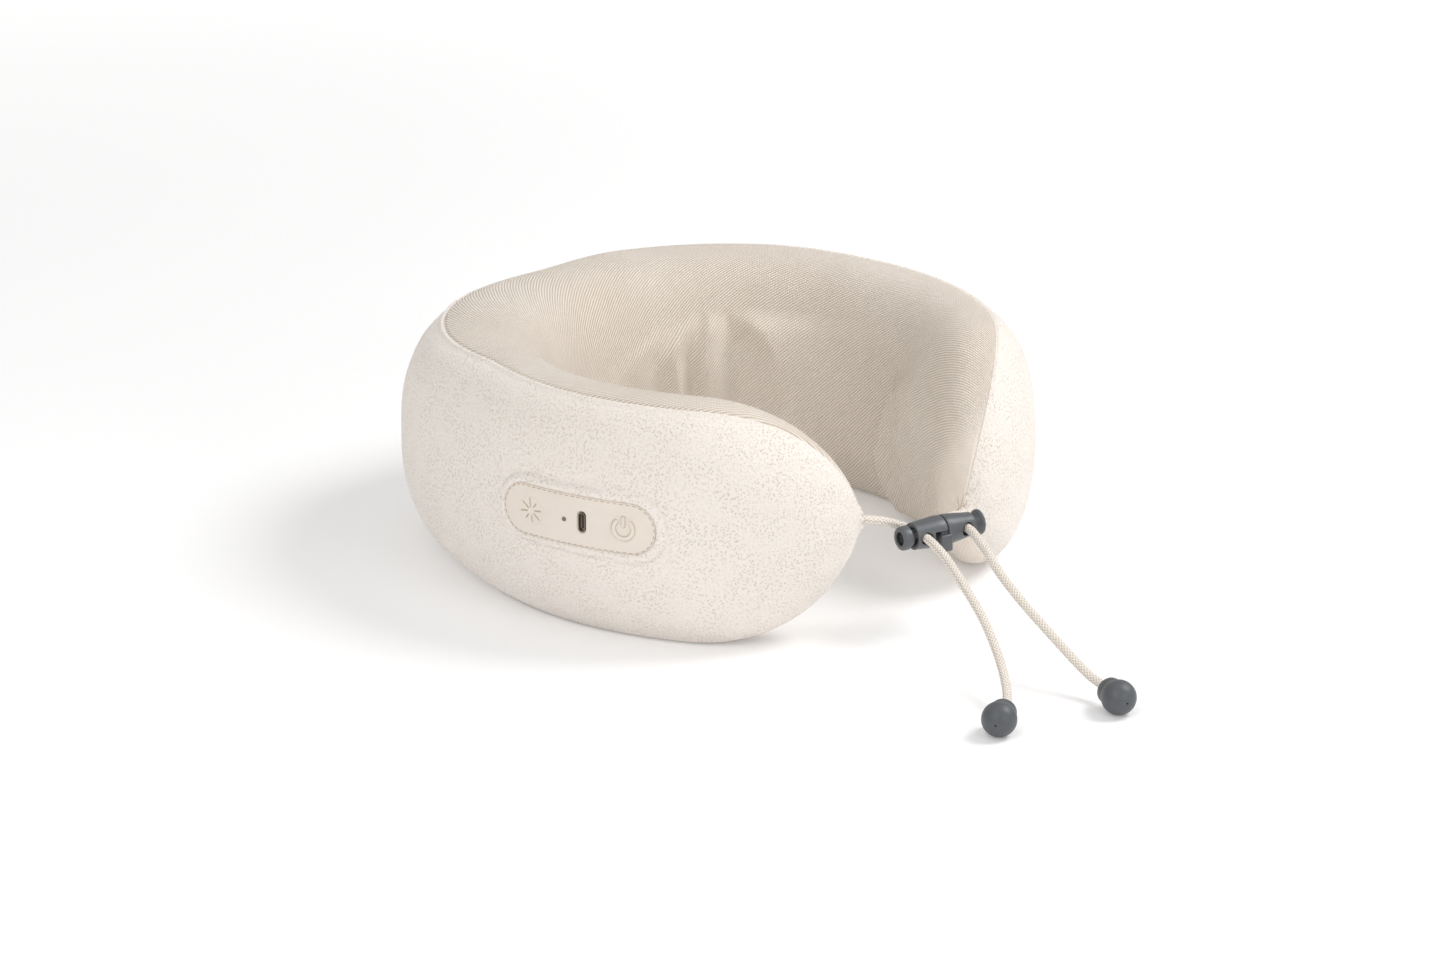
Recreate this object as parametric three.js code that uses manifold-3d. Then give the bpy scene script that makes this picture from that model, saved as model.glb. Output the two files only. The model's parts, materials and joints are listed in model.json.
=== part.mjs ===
// Shiatsu neck massager: a U-shaped foam pillow with two kneading modules, an
// arm-mounted control panel, two cords with beads and a two-part cord clip.
// Millimetres. Origin: on the resting face, under the middle of the back. +Z up.
// The opening faces -Y, the back is at +Y, the panel is on the -X arm. Everything is
// drawn round the centre of the ring and moved to the origin as each piece is added.
import * as THREE from "three";
import { mergeVertices } from "three/addons/utils/BufferGeometryUtils.js";
import Module from "manifold-3d";

const wasm = await Module();
wasm.setup();

// ------------------------------------------------------------------ dimensions
// pillow; "phi" runs along the ring from -1 (left tip, -X) through 0 (back) to 1
const RING_R = 104.5; // radius of the tube's centre line round the back
const TIP_R = 127; // distance of the arm tips from the ring centre
const TIP_ANGLE = 165.5; // direction of the tips, degrees from the back
const TIP_Z_LEFT = 54; // height of the pinched arm tips
const TIP_Z_RIGHT = 41;
const WIDEN = 0.42; // |phi| after which the arms widen out
const ROUND = 0.79; // |phi| after which the arm end rounds off
const SUPER = 2.25; // roundness exponent of the tube's section
const HALF_THICK = [41, 33.5, 28.5]; // half thickness: back, side, arm
const FULL = 3.4; // how much fuller the outside is, either side of the middle of the back
const HALF_HIGH = [53.5, 54.5, 55.5]; // half height: back, side, arm
const SEAM = [56, 77, 73]; // where the two fabrics meet, degrees round the section
const SINK = 2; // how far the foam settles flat on the table
const FABRIC = 1.5; // padded fabric thickness
const AIR = 0.4; // clearance between fabric and foam
const SEAM_GAP = 0.4;
const COVER_END = ROUND + (1 - ROUND) * 0.982; // |phi| where the covers end
const FOAM_END = 0.98;
const OUTER_COLS = 8; // facets round the section, outer and inner fabric
const INNER_COLS = 14;

// kneading modules
const MODULE_ANGLE = 45; // degrees either side of the back
const MODULE_Z = 53;
const WORM_LEAD = Math.PI; // single start, module 1
const WORM_PITCH_R = 4;
const WORM_Y = 19.15; // worm axis above the wheel axis
const WHEEL_TEETH = 30;
const WHEEL_PITCH_R = WHEEL_TEETH / 2; // module 1
const GEAR_R = 113; // depth of the gear plane from the ring centre
const NODE_R = 12;
const NODE_ORBIT = 16;
const CASE = { x: [-22, 46], y: [-21, 31], z: [101, 125] };
const CASE_WALL = 1.8;
const CASE_ROOM = 0.8; // between the case and the foam

// control panel; u is measured along the arm from the panel's middle
const PANEL_ANGLE = -111.4; // degrees from the back
const PANEL_Z = 58;
const PANEL_LEN = 76;
const PANEL_HIGH = 23;
const KEYS = [
  { name: "power", u: 23.6, radius: 5.3 },
  { name: "heat", u: -22.3, radius: 6.5 },
];
const LED_U = -4.6;
const USB_U = 4.0;
const USB_REACH = 2.9; // from the socket's middle to the centres of its round ends

// cords, beads and clip
const CORD_R = 2;
const BEAD_R = 7.6;
const CLIP = { x: 0, y: -141.2, z: 45.6, yaw: -12 }; // the clip's middle
const HOLE_X = 11; // cord holes either side of the clip's middle
// beads rest on the table: ball centre and the direction from the ball to its cord
const BEADS = {
  left: { centre: [-67.7, -242.9, BEAD_R + 0.05], toCord: [0.85, 0.527] },
  right: { centre: [-14.2, -261, BEAD_R + 0.05], toCord: [0.325, 0.946] },
};
const LEAD_R = 1.2; // electric leads
const DUCT_R = LEAD_R + 1.1;

// ------------------------------------------------------------------ materials
const FINISH = {
  outerFabric: { color: 0xe2dbd1, roughness: 0.95 },
  innerFabric: { color: 0xcfc2b3, roughness: 0.95 },
  film: { color: 0x2b2b2e, roughness: 0.5 },
  foam: { color: 0xf0e6c8, roughness: 0.98 },
  lead: { color: 0x202024, roughness: 0.6 },
  pad: { color: 0xd9cfc3, roughness: 0.75 },
  frame: { color: 0xd5ccc1, roughness: 0.6 },
  key: { color: 0xd6ccc0, roughness: 0.7 },
  led: { color: 0xf4f2ee, roughness: 0.25 },
  usbShell: { color: 0xb9bcc2, roughness: 0.3, metalness: 0.9 },
  usbTongue: { color: 0x1a1a1c, roughness: 0.5 },
  board: { color: 0x1f6b3c, roughness: 0.5 },
  switchBody: { color: 0x26262a, roughness: 0.5 },
  switchPlunger: { color: 0x8a2b24, roughness: 0.5 },
  battery: { color: 0x2e5fa3, roughness: 0.45 },
  case: { color: 0x3a3c40, roughness: 0.55 },
  motor: { color: 0xb4b7bb, roughness: 0.35, metalness: 0.9 },
  worm: { color: 0xc9a45c, roughness: 0.35, metalness: 0.8 },
  wheel: { color: 0xe9e4d6, roughness: 0.5 },
  shaft: { color: 0xc6c9cd, roughness: 0.3, metalness: 0.95 },
  bush: { color: 0xb07a3c, roughness: 0.4, metalness: 0.8 },
  carrier: { color: 0x4a4c50, roughness: 0.5 },
  node: { color: 0x6d6a68, roughness: 0.75 },
  screw: { color: 0xbfc2c6, roughness: 0.3, metalness: 0.95 },
  barrel: { color: 0x6c6e70, roughness: 0.5 },
  clipPlunger: { color: 0x5d5f62, roughness: 0.5 },
  spring: { color: 0xc9ccd0, roughness: 0.3, metalness: 0.95 },
  bead: { color: 0x5e6165, roughness: 0.4 },
  cord: { color: 0xd8ccbc, roughness: 0.9 },
};

// ------------------------------------------------------------------ helpers
const rad = (degrees) => (degrees * Math.PI) / 180;
const clamp = (value, low, high) => Math.min(high, Math.max(low, value));
const smoothStep = (value) => {
  const x = clamp(value, 0, 1);
  return x ** 2 * (3 - 2 * x);
};

// Welds a geometry into a solid, dropping empty triangles and turning it right side out.
function toSolid(geometry) {
  const bare = new THREE.BufferGeometry();
  const source = geometry.index ? geometry.toNonIndexed() : geometry;
  bare.setAttribute("position", source.getAttribute("position"));
  const merged = mergeVertices(bare, 1e-4);
  const { position } = merged.attributes;
  const index = merged.index.array;
  const corner = (i) => new THREE.Vector3().fromBufferAttribute(position, i);
  const triangles = [];
  let volume = 0;
  for (let i = 0; i < index.length; i += 3) {
    const [a, b, c] = [index[i], index[i + 1], index[i + 2]];
    if (a === b || b === c || a === c) continue;
    triangles.push(a, b, c);
    volume += corner(a).dot(corner(b).cross(corner(c)));
  }
  if (volume < 0) triangles.reverse();
  return new wasm.Manifold(
    new wasm.Mesh({
      numProp: 3,
      vertProperties: new Float32Array(position.array),
      triVerts: new Uint32Array(triangles),
    }),
  );
}

function toGeometry(solid) {
  const mesh = solid.getMesh();
  const geometry = new THREE.BufferGeometry();
  const positions = new Float32Array(mesh.vertProperties);
  geometry.setAttribute("position", new THREE.BufferAttribute(positions, 3));
  geometry.setIndex(Array.from(mesh.triVerts));
  geometry.computeVertexNormals();
  return geometry;
}

const group = new THREE.Group();
function add(name, solid, finish) {
  const mesh = new THREE.Mesh(
    toGeometry(solid).translate(0, -RING_R, 0),
    new THREE.MeshStandardMaterial(finish),
  );
  mesh.name = name;
  group.add(mesh);
}

const placed = (solid, frame) => solid.transform(Array.from(frame.elements));
const cut = (body, ...tools) => tools.reduce((rest, tool) => rest.subtract(tool), body);
const join = (body, ...others) => others.reduce((sum, other) => sum.add(other), body);

// three's Y axis turned onto X or Z
const ALONG_X = new THREE.Matrix4().makeRotationZ(-Math.PI / 2);
const ALONG_Z = new THREE.Matrix4().makeRotationX(Math.PI / 2);

const rod = (axis, radius, [from, to], segments) =>
  toSolid(
    new THREE.CylinderGeometry(radius, radius, to - from, segments)
      .translate(0, (from + to) / 2, 0)
      .applyMatrix4(axis),
  );
const rodX = (radius, range, segments) => rod(ALONG_X, radius, range, segments);
const rodZ = (radius, range, segments) => rod(ALONG_Z, radius, range, segments);

const block = ([x0, x1], [y0, y1], [z0, z1]) =>
  toSolid(
    new THREE.BoxGeometry(x1 - x0, y1 - y0, z1 - z0).translate(
      (x0 + x1) / 2,
      (y0 + y1) / 2,
      (z0 + z1) / 2,
    ),
  );

// profile: [radius, distance along the axis] pairs
const lathe = (profile, axis, segments) =>
  toSolid(
    new THREE.LatheGeometry(
      profile.map(([radius, along]) => new THREE.Vector2(radius, along)),
      segments,
    ).applyMatrix4(axis),
  );

// a bar with round ends, long in Y; reach: from its middle to the end arcs' centres
function stadium(reach, radius, [z0, z1], curveSegments) {
  const shape = new THREE.Shape();
  shape.absarc(0, reach, radius, 0, Math.PI, false);
  shape.absarc(0, -reach, radius, Math.PI, 2 * Math.PI, false);
  const options = { depth: z1 - z0, bevelEnabled: false, curveSegments };
  return toSolid(new THREE.ExtrudeGeometry(shape, options).translate(0, 0, z0));
}

const ball = (centre, radius) =>
  toSolid(new THREE.SphereGeometry(radius, 6, 4).translate(...centre));

// a round bar along a smooth path
function bar(points, radius, sides, steps) {
  const extrudePath = new THREE.CatmullRomCurve3(
    points.map((point) => new THREE.Vector3(...point)),
    false,
    "centripetal",
  );
  const outline = [];
  for (let i = 0; i < sides; i++) {
    const angle = (2 * Math.PI * i) / sides;
    outline.push(new THREE.Vector2(radius * Math.cos(angle), radius * Math.sin(angle)));
  }
  const options = { steps, bevelEnabled: false, extrudePath };
  return toSolid(new THREE.ExtrudeGeometry(new THREE.Shape(outline), options));
}

// points: [x, y, z] each; faces: corner numbers, three to a triangle
function meshSolid(points, faces) {
  const geometry = new THREE.BufferGeometry();
  const positions = new Float32Array(points.flat());
  geometry.setAttribute("position", new THREE.BufferAttribute(positions, 3));
  geometry.setIndex(faces);
  return toSolid(geometry);
}
const quad = (a, b, c, d) => [a, b, c, a, c, d];

// A closed body between two layers of rows x (cols + 1) points.
function slab(rows, cols, pointAt) {
  const points = [];
  for (let layer = 0; layer < 2; layer++)
    for (let row = 0; row < rows; row++)
      for (let col = 0; col <= cols; col++) points.push(pointAt(layer, row, col));
  const id = (layer, row, col) => (layer * rows + row) * (cols + 1) + col;
  const faces = [];
  const last = rows - 1;
  for (let i = 0; i < last; i++)
    for (let j = 0; j < cols; j++)
      faces.push(
        ...quad(id(0, i, j), id(0, i + 1, j), id(0, i + 1, j + 1), id(0, i, j + 1)),
        ...quad(id(1, i, j), id(1, i, j + 1), id(1, i + 1, j + 1), id(1, i + 1, j)),
      );
  for (let i = 0; i < last; i++)
    faces.push(
      ...quad(id(0, i, 0), id(1, i, 0), id(1, i + 1, 0), id(0, i + 1, 0)),
      ...quad(id(0, i, cols), id(0, i + 1, cols), id(1, i + 1, cols), id(1, i, cols)),
    );
  for (let j = 0; j < cols; j++)
    faces.push(
      ...quad(id(0, 0, j), id(0, 0, j + 1), id(1, 0, j + 1), id(1, 0, j)),
      ...quad(id(0, last, j), id(1, last, j), id(1, last, j + 1), id(0, last, j + 1)),
    );
  return meshSolid(points, faces);
}

// ------------------------------------------------------------------ pillow shape
// a [back, side, arm] dimension at phi
function along(phi, [back, side, arm]) {
  const t = Math.abs(phi);
  const stops = [0, 0.15, 0.45, 0.75];
  const values = [back, back * 0.9 + side * 0.1, side, arm];
  for (let i = 1; i < stops.length; i++)
    if (t <= stops[i]) {
      const share = (t - stops[i - 1]) / (stops[i] - stops[i - 1]);
      return values[i - 1] + (values[i] - values[i - 1]) * share;
    }
  return arm;
}

// the tube's centre line in plan
function spine(phi) {
  const widen = clamp((Math.abs(phi) - WIDEN) / (1 - WIDEN), 0, 1) ** 2;
  const radius = RING_R * (1 - widen) + TIP_R * widen;
  const angle = rad(phi * TIP_ANGLE);
  return [radius * Math.sin(angle), radius * Math.cos(angle)];
}

function section(phi) {
  const [x, y] = spine(phi);
  const [xBefore, yBefore] = spine(phi - 1e-4);
  const [xAfter, yAfter] = spine(phi + 1e-4);
  const step = Math.hypot(xAfter - xBefore, yAfter - yBefore);
  const end = clamp((Math.abs(phi) - ROUND) / (1 - ROUND), 0, 1);
  const fullHigh = along(phi, HALF_HIGH);
  const halfHigh = (fullHigh + SINK / 2) * Math.max(0, 1 - end ** 2.4) ** 0.62;
  const tipZ = phi < 0 ? TIP_Z_LEFT : TIP_Z_RIGHT;
  const blendZ = (fullHigh - SINK / 2) * (1 - end * end) + tipZ * end * end;
  return {
    x,
    y,
    outX: (yBefore - yAfter) / step, // unit direction out of the ring
    outY: (xAfter - xBefore) / step,
    halfThick: along(phi, HALF_THICK) * Math.sqrt(Math.max(0, 1 - end ** 1.3)),
    halfHigh,
    midZ: Math.max(blendZ, halfHigh - SINK),
  };
}

// A point of the pillow: angle in degrees round the section (0 outwards, 90 up),
// depth in millimetres in from the skin.
function skin(phi, angle, depth) {
  const s = section(phi);
  const cos = Math.cos(rad(angle));
  const sin = Math.sin(rad(angle));
  const t = Math.abs(phi);
  let fuller = cos > 0 ? smoothStep(t / 0.12) * smoothStep((0.5 - t) / 0.2) : 0;
  if (sin < 0) fuller *= Math.max(0, 1 - 1.2 * sin * sin);
  const power = 2 / (SUPER + 0.35 * fuller);
  const thick = Math.max(s.halfThick + FULL * fuller - depth, 0.2);
  const high = Math.max(s.halfHigh - depth, 0.2);
  const out = thick * Math.sign(cos) * Math.abs(cos) ** power;
  const up = high * Math.sign(sin) * Math.abs(sin) ** power;
  return [s.x + s.outX * out, s.y + s.outY * out, Math.max(depth, s.midZ + up)];
}

// the phi of every ring of points, from the left tip to the right
const RINGS = [0, 0.1, 0.2, 0.3, 0.4, 0.5, 0.6, 0.7, 0.79, 0.85, 0.895, 0.93, 0.957, 0.98];
const PANEL_RINGS = [0.54, 0.58, 0.62, 0.66, 0.74]; // extra on the left, behind the panel
function stations(end) {
  const right = [...RINGS.filter((t) => t < end - 0.004), end];
  const left = [...right.slice(1), ...PANEL_RINGS].sort((a, b) => b - a);
  return [...left.filter((t) => t !== 0.6).map((t) => -t), ...right];
}

// a sheet under the skin, between two depths and two angles (functions of phi)
function sheet(phis, angleFrom, angleTo, cols, depths) {
  return slab(phis.length, cols, (layer, row, col) => {
    const phi = phis[row];
    const from = angleFrom(phi);
    return skin(phi, from + ((angleTo(phi) - from) * col) / cols, depths[layer]);
  });
}

// the whole tube as one closed body, with its columns in line with the covers'
function tube(phis, depth) {
  const cols = OUTER_COLS + INNER_COLS;
  const points = [];
  for (const phi of phis)
    for (let j = 0; j < cols; j++) {
      const seam = along(phi, SEAM);
      const angle =
        j < OUTER_COLS
          ? -seam + (2 * seam * j) / OUTER_COLS
          : seam + ((360 - 2 * seam) * (j - OUTER_COLS)) / INNER_COLS;
      points.push(skin(phi, angle, depth));
    }
  const faces = [];
  const last = phis.length - 1;
  for (let i = 0; i < last; i++)
    for (let j = 0; j < cols; j++) {
      const next = (j + 1) % cols;
      const row = i * cols;
      faces.push(...quad(row + j, row + cols + j, row + cols + next, row + next));
    }
  for (const i of [0, last]) {
    const s = section(phis[i]);
    const hub = points.length;
    points.push([s.x, s.y, s.midZ]);
    for (let j = 0; j < cols; j++) {
      const edge = [i * cols + j, i * cols + ((j + 1) % cols)];
      if (i === last) edge.reverse();
      faces.push(hub, ...edge);
    }
  }
  return meshSolid(points, faces);
}

// ------------------------------------------------------------------ panel frame
// u along the arm towards the opening, v up, h out from the skin
const PANEL_PHI = PANEL_ANGLE / TIP_ANGLE;
const panelBefore = skin(PANEL_PHI - 5e-4, 0, 0);
const panelAfter = skin(PANEL_PHI + 5e-4, 0, 0);
const MM_PER_PHI =
  Math.hypot(panelBefore[0] - panelAfter[0], panelBefore[1] - panelAfter[1]) / 1e-3;

function panelPoint(u, v, h) {
  const s = section(PANEL_PHI - u / MM_PER_PHI);
  const z = PANEL_Z + v;
  const rise = clamp(Math.abs((z - s.midZ) / (s.halfHigh + h)), 0, 0.999);
  const out = (s.halfThick + h) * (1 - rise ** SUPER) ** (1 / SUPER);
  return [s.x + s.outX * out, s.y + s.outY * out, z];
}

// a plate with round ends that follows the skin; strips are counted along its length
const END_STRIPS = 4;
function pill(length, high, [inside, outside], strips, cols) {
  const radius = high / 2;
  const straight = strips - 2 * END_STRIPS;
  const leftEnd = [-length / 2 + 0.05];
  for (let i = 1; i <= END_STRIPS; i++) {
    const angle = (i / END_STRIPS) * (Math.PI / 2) * 0.999;
    leftEnd.push(-length / 2 + radius * (1 - Math.cos(angle)));
  }
  const us = [...leftEnd];
  for (let i = 1; i < straight; i++)
    us.push(-length / 2 + radius + ((length - 2 * radius) * i) / straight);
  us.push(...leftEnd.map((u) => -u).reverse());
  const halfHigh = (u) => {
    const beyond = Math.abs(u) - (length / 2 - radius);
    return beyond <= 0 ? radius : Math.sqrt(Math.max(0.02, radius * radius - beyond * beyond));
  };
  const heights = [outside, inside];
  return slab(us.length, cols, (layer, row, col) =>
    panelPoint(us[row], halfHigh(us[row]) * ((2 * col) / cols - 1), heights[layer]),
  );
}

// local frame on the panel: X along the arm towards the opening, Y up, Z out of the skin
function panelFrame(u) {
  const before = new THREE.Vector3(...panelPoint(u - 0.5, 0, 0));
  const x = new THREE.Vector3(...panelPoint(u + 0.5, 0, 0)).sub(before).normalize();
  const y = new THREE.Vector3(0, 0, 1);
  const z = new THREE.Vector3().crossVectors(x, y);
  return new THREE.Matrix4().makeBasis(x, y, z).setPosition(...panelPoint(u, 0, 0));
}
const onPanel = (u, solid) => placed(solid, panelFrame(u));

// ------------------------------------------------------------------ module frame
// X along the ring (motor side towards the back), Y up, Z distance from the ring centre;
// the left module mirrors the right one
function moduleFrame(side) {
  const angle = rad(MODULE_ANGLE * side);
  const out = new THREE.Vector3(Math.sin(angle), Math.cos(angle), 0);
  const up = new THREE.Vector3(0, 0, 1);
  const x = new THREE.Vector3().crossVectors(up, out).multiplyScalar(side);
  return new THREE.Matrix4().makeBasis(x, up, out).setPosition(0, 0, MODULE_Z);
}
const caseBlock = (grow, zRange) =>
  block(
    [CASE.x[0] - grow, CASE.x[1] + grow],
    [CASE.y[0] - grow, CASE.y[1] + grow],
    zRange,
  );

// ------------------------------------------------------------------ clip frame
// X from the left half to the right half, -Y away from the pillow
const clipFrame = new THREE.Matrix4()
  .makeRotationZ(rad(CLIP.yaw))
  .setPosition(CLIP.x, CLIP.y, CLIP.z);
const clipPoint = (x, y, z) => new THREE.Vector3(x, y, z).applyMatrix4(clipFrame).toArray();

// ------------------------------------------------------------------ cords
const beadPoint = ({ centre, toCord }, distance) => [
  centre[0] + toCord[0] * distance,
  centre[1] + toCord[1] * distance,
  centre[2],
];
const intoBead = (bead) => [15, 10.6, 3.4].map((distance) => beadPoint(bead, distance));
// middle of the arm tip, phi -COVER_END or COVER_END
function tipPoint(phi) {
  const below = skin(phi, 270, 0);
  return skin(phi, 90, 0).map((value, i) => (value + below[i]) / 2);
}
function anchorPoint(phi) {
  const s = section(phi);
  return [s.x, s.y, s.midZ];
}
// from inside the left arm, through the clip, to the left bead
const leftPath = [
  anchorPoint(-0.945),
  tipPoint(-COVER_END),
  [-24.5, -127.4, 52.5],
  [-14.8, -128.6, 48.6],
  clipPoint(-HOLE_X, 6.4, 0),
  clipPoint(-HOLE_X, 0, 0),
  clipPoint(-HOLE_X, -6.4, 0),
  [-14.9, -157.5, 42.4],
  [-21.5, -177, 35],
  [-27.8, -195.2, 26],
  [-35.8, -211.7, 16.6],
  [-44.6, -224.6, 10.2],
  ...intoBead(BEADS.left),
];
// from the clip to the right bead
const rightTailPath = [
  clipPoint(HOLE_X, 7.6, 0),
  clipPoint(HOLE_X, 0, 0),
  clipPoint(HOLE_X, -6.4, 0),
  [4.6, -163, 42.3],
  [-3.4, -181.8, 36.4],
  [-7.6, -200, 29.2],
  [-9.3, -217, 21.4],
  [-9.4, -231.5, 13.6],
  [-9.4, -240.5, 9.4],
  ...intoBead(BEADS.right),
];
// from inside the right arm to the clip
const innerCordEnd = clipPoint(HOLE_X, 8.4, 0);
const rightInnerPath = [
  anchorPoint(0.945),
  tipPoint(COVER_END),
  [27.3, -127.8, 42.2],
  [20.6, -130.4, 44.2],
  [innerCordEnd[0] + 2.3, innerCordEnd[1] + 3.4, 45.3],
  innerCordEnd,
];
// passages for the cords through the arm tips, and the hollows at their ends
const cordPaths = [leftPath, rightInnerPath];
const cordWays = cordPaths.map((path) => bar(path.slice(0, 4), CORD_R + 0.8, 6, 8));
const cordHollows = cordPaths.map((path) => ball(path[0], CORD_R + 3.2));

// ------------------------------------------------------------------ covers
const seamAt = (phi) => along(phi, SEAM);
// half the seam gap, in degrees round the section
function seamGap(phi) {
  const seam = seamAt(phi);
  const before = new THREE.Vector3(...skin(phi, seam - 0.5, 0));
  const after = new THREE.Vector3(...skin(phi, seam + 0.5, 0));
  return SEAM_GAP / 2 / Math.max(0.02, before.distanceTo(after));
}
const coverStations = stations(COVER_END);
const outerCover = sheet(
  coverStations,
  (phi) => -seamAt(phi) + seamGap(phi),
  (phi) => seamAt(phi) - seamGap(phi),
  OUTER_COLS,
  [0, FABRIC],
);
const innerCover = sheet(
  coverStations,
  (phi) => seamAt(phi) + seamGap(phi),
  (phi) => 360 - seamAt(phi) - seamGap(phi),
  INNER_COLS,
  [0, FABRIC],
);
const panelOpening = pill(68, 15, [-4, 4], 14, 1);
add("outer_cover", cut(outerCover, panelOpening, ...cordWays), FINISH.outerFabric);
add("inner_cover", cut(innerCover, ...cordWays), FINISH.innerFabric);

// film heater laid in the foam behind the inner fabric, between the two modules
const filmSheet = (endPhi, angleFrom, angleTo, depths) =>
  sheet([-endPhi, -0.04, 0, 0.04, endPhi], () => angleFrom, () => angleTo, 6, depths);
add("heater_film", filmSheet(0.085, 150, 212, [2.5, 3.1]), FINISH.film);
const filmSeat = filmSheet(0.095, 147, 215, [1.2, 3.6]);

// ------------------------------------------------------------------ foam and leads
// lead paths: degrees from the back, distance from the ring centre, height
const ringPoint = ([degrees, radius, z]) => [
  radius * Math.sin(rad(degrees)),
  radius * Math.cos(rad(degrees)),
  z,
];
// panel pocket -> left motor
const panelLead = [
  [-93.4, 122.4, 46],
  [-92.8, 121, 35],
  [-85, 114, 22],
  [-66, 106, 15.5],
  [-45, 107, 16],
  [-29, 112, 20],
  [-18, 119, 36],
  [-17.6, 121.5, 56],
  [-21.6, 122.6, 66],
].map(ringPoint);
// left motor -> right motor
const bridgeLead = [
  [-21.8, 122.8, 77],
  [-14, 121, 79],
  [0, 118, 80],
  [14, 121, 79],
  [21.8, 122.8, 77],
].map(ringPoint);
const leadBar = (path, radius) => bar(path, radius, 5, path.length * 2);
const ductCuts = (path, startRadius, endRadius) => [
  leadBar(path, DUCT_R),
  ball(path[0], startRadius),
  ball(path[path.length - 1], endRadius),
];
// case pocket and, towards the neck, the round well the nodes turn in
const moduleCuts = (side) =>
  [
    caseBlock(CASE_ROOM, [CASE.z[0] - CASE_ROOM, CASE.z[1] + CASE_ROOM]),
    rodZ(30, [40, 101], 20),
  ].map((solid) => placed(solid, moduleFrame(side)));

const foam = cut(
  tube(stations(FOAM_END), FABRIC + AIR),
  filmSeat,
  ...cordWays,
  ...cordHollows,
  onPanel(0, block([-39, 39], [-19.6, 19.6], [-33.6, -5])), // electronics pocket
  pill(76, 26, [-13, 3], 14, 1),
  ...moduleCuts(-1),
  ...moduleCuts(1),
  ...ductCuts(panelLead, 3, 3.5),
  ...ductCuts(bridgeLead, 3.5, 3.5),
);
// the largest part only, without loose slivers
const [foamBody] = foam.decompose().sort((a, b) => b.volume() - a.volume());
add("foam_core", foamBody, FINISH.foam);
add("panel_lead", leadBar(panelLead, LEAD_R), FINISH.lead);
add("bridge_lead", leadBar(bridgeLead, LEAD_R), FINISH.lead);

// ------------------------------------------------------------------ control panel
// openings for the LED and the USB socket, through the given depth range
const panelOpenings = (range) => [
  onPanel(LED_U, rodZ(1.3, range, 10)),
  onPanel(USB_U, stadium(USB_REACH, 1.95, range, 5)),
];
const PAD_CUT = [-3, 6];
const FRAME_CUT = [-8, 4];
const pad = cut(
  pill(PANEL_LEN, PANEL_HIGH, [0.2, 1.7], 16, 2),
  ...KEYS.map(({ u, radius }) => onPanel(u, rodZ(radius + 0.3, PAD_CUT, 20))),
  ...panelOpenings(PAD_CUT),
);
const panelBase = cut(
  join(pill(66, 13, [-3.6, -0.1], 14, 1), pill(73, 21.5, [-4.5, -2.7], 14, 1)),
  ...KEYS.map(({ u }) => onPanel(u, rodZ(2.3, FRAME_CUT, 10))),
  ...panelOpenings(FRAME_CUT),
);
add("panel_pad", pad, FINISH.pad);
add("panel_frame", panelBase, FINISH.frame);

// a round cap on a stem
for (const { name, u, radius } of KEYS) {
  const profile = [
    [0, -5.4], [1.9, -5.4], [1.9, 0.75], [radius, 0.75],
    [radius, 1.75], [radius - 0.5, 2.15], [0, 2.15],
  ];
  add(`${name}_key`, onPanel(u, lathe(profile, ALONG_Z, 20)), FINISH.key);
}
add("status_led", onPanel(LED_U, rodZ(1.0, [-8.8, 1.5], 12)), FINISH.led);

const usbShell = cut(
  stadium(USB_REACH, 1.6, [-8.6, 1.2], 5),
  stadium(USB_REACH, 1.25, [-7.8, 3], 5),
);
const usbTongue = block([-0.35, 0.35], [-3.2, 3.2], [-7.6, 0.2]);
add("usb_shell", onPanel(USB_U, usbShell), FINISH.usbShell);
add("usb_tongue", onPanel(USB_U, usbTongue), FINISH.usbTongue);
add("control_board", pill(70, 18, [-10.2, -9.0], 14, 1), FINISH.board);

for (const { name, u } of KEYS) {
  const body = cut(block([-3, 3], [-3, 3], [-8.8, -6.4]), rodZ(1.75, [-8.1, -4], 10));
  add(`${name}_switch`, onPanel(u, body), FINISH.switchBody);
  add(`${name}_plunger`, onPanel(u, rodZ(1.5, [-7.4, -5.5], 10)), FINISH.switchPlunger);
}

// two cells side by side in one shrink wrap, lying along the arm
const batteryPack = stadium(9.3, 9.2, [-32.5, 32.5], 8)
  .rotate([0, 90, 0])
  .translate([0, 0, -23.4]);
add("battery_pack", onPanel(0, batteryPack), FINISH.battery);

// ------------------------------------------------------------------ kneading modules
// toothed disc about Z, its teeth slanted to match the worm's lead
function wheelDisc() {
  // one tooth: radius, distance sideways from its middle
  const tooth = [[13.85, -1.05], [15.8, -0.36], [15.8, 0.36], [13.85, 1.05]];
  const turnPerMm = WORM_LEAD / (2 * Math.PI * WORM_PITCH_R) / WHEEL_PITCH_R;
  const points = [];
  const ends = [-4, 4];
  for (const z of ends)
    for (let i = 0; i < WHEEL_TEETH; i++) {
      // half a pitch round, so that a tooth gap faces the worm
      const middle = Math.PI / 2 + ((i + 0.5) * 2 * Math.PI) / WHEEL_TEETH + turnPerMm * z;
      for (const [radius, sideways] of tooth) {
        const angle = middle + sideways / radius;
        points.push([radius * Math.cos(angle), radius * Math.sin(angle), z]);
      }
    }
  const count = WHEEL_TEETH * tooth.length;
  const hub = points.length;
  points.push(...ends.map((z) => [0, 0, z]));
  const faces = [];
  for (let i = 0; i < count; i++) {
    const next = (i + 1) % count;
    faces.push(...quad(i, next, count + next, count + i));
    faces.push(hub, next, i, hub + 1, count + i, count + next);
  }
  return meshSolid(points, faces);
}

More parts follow.
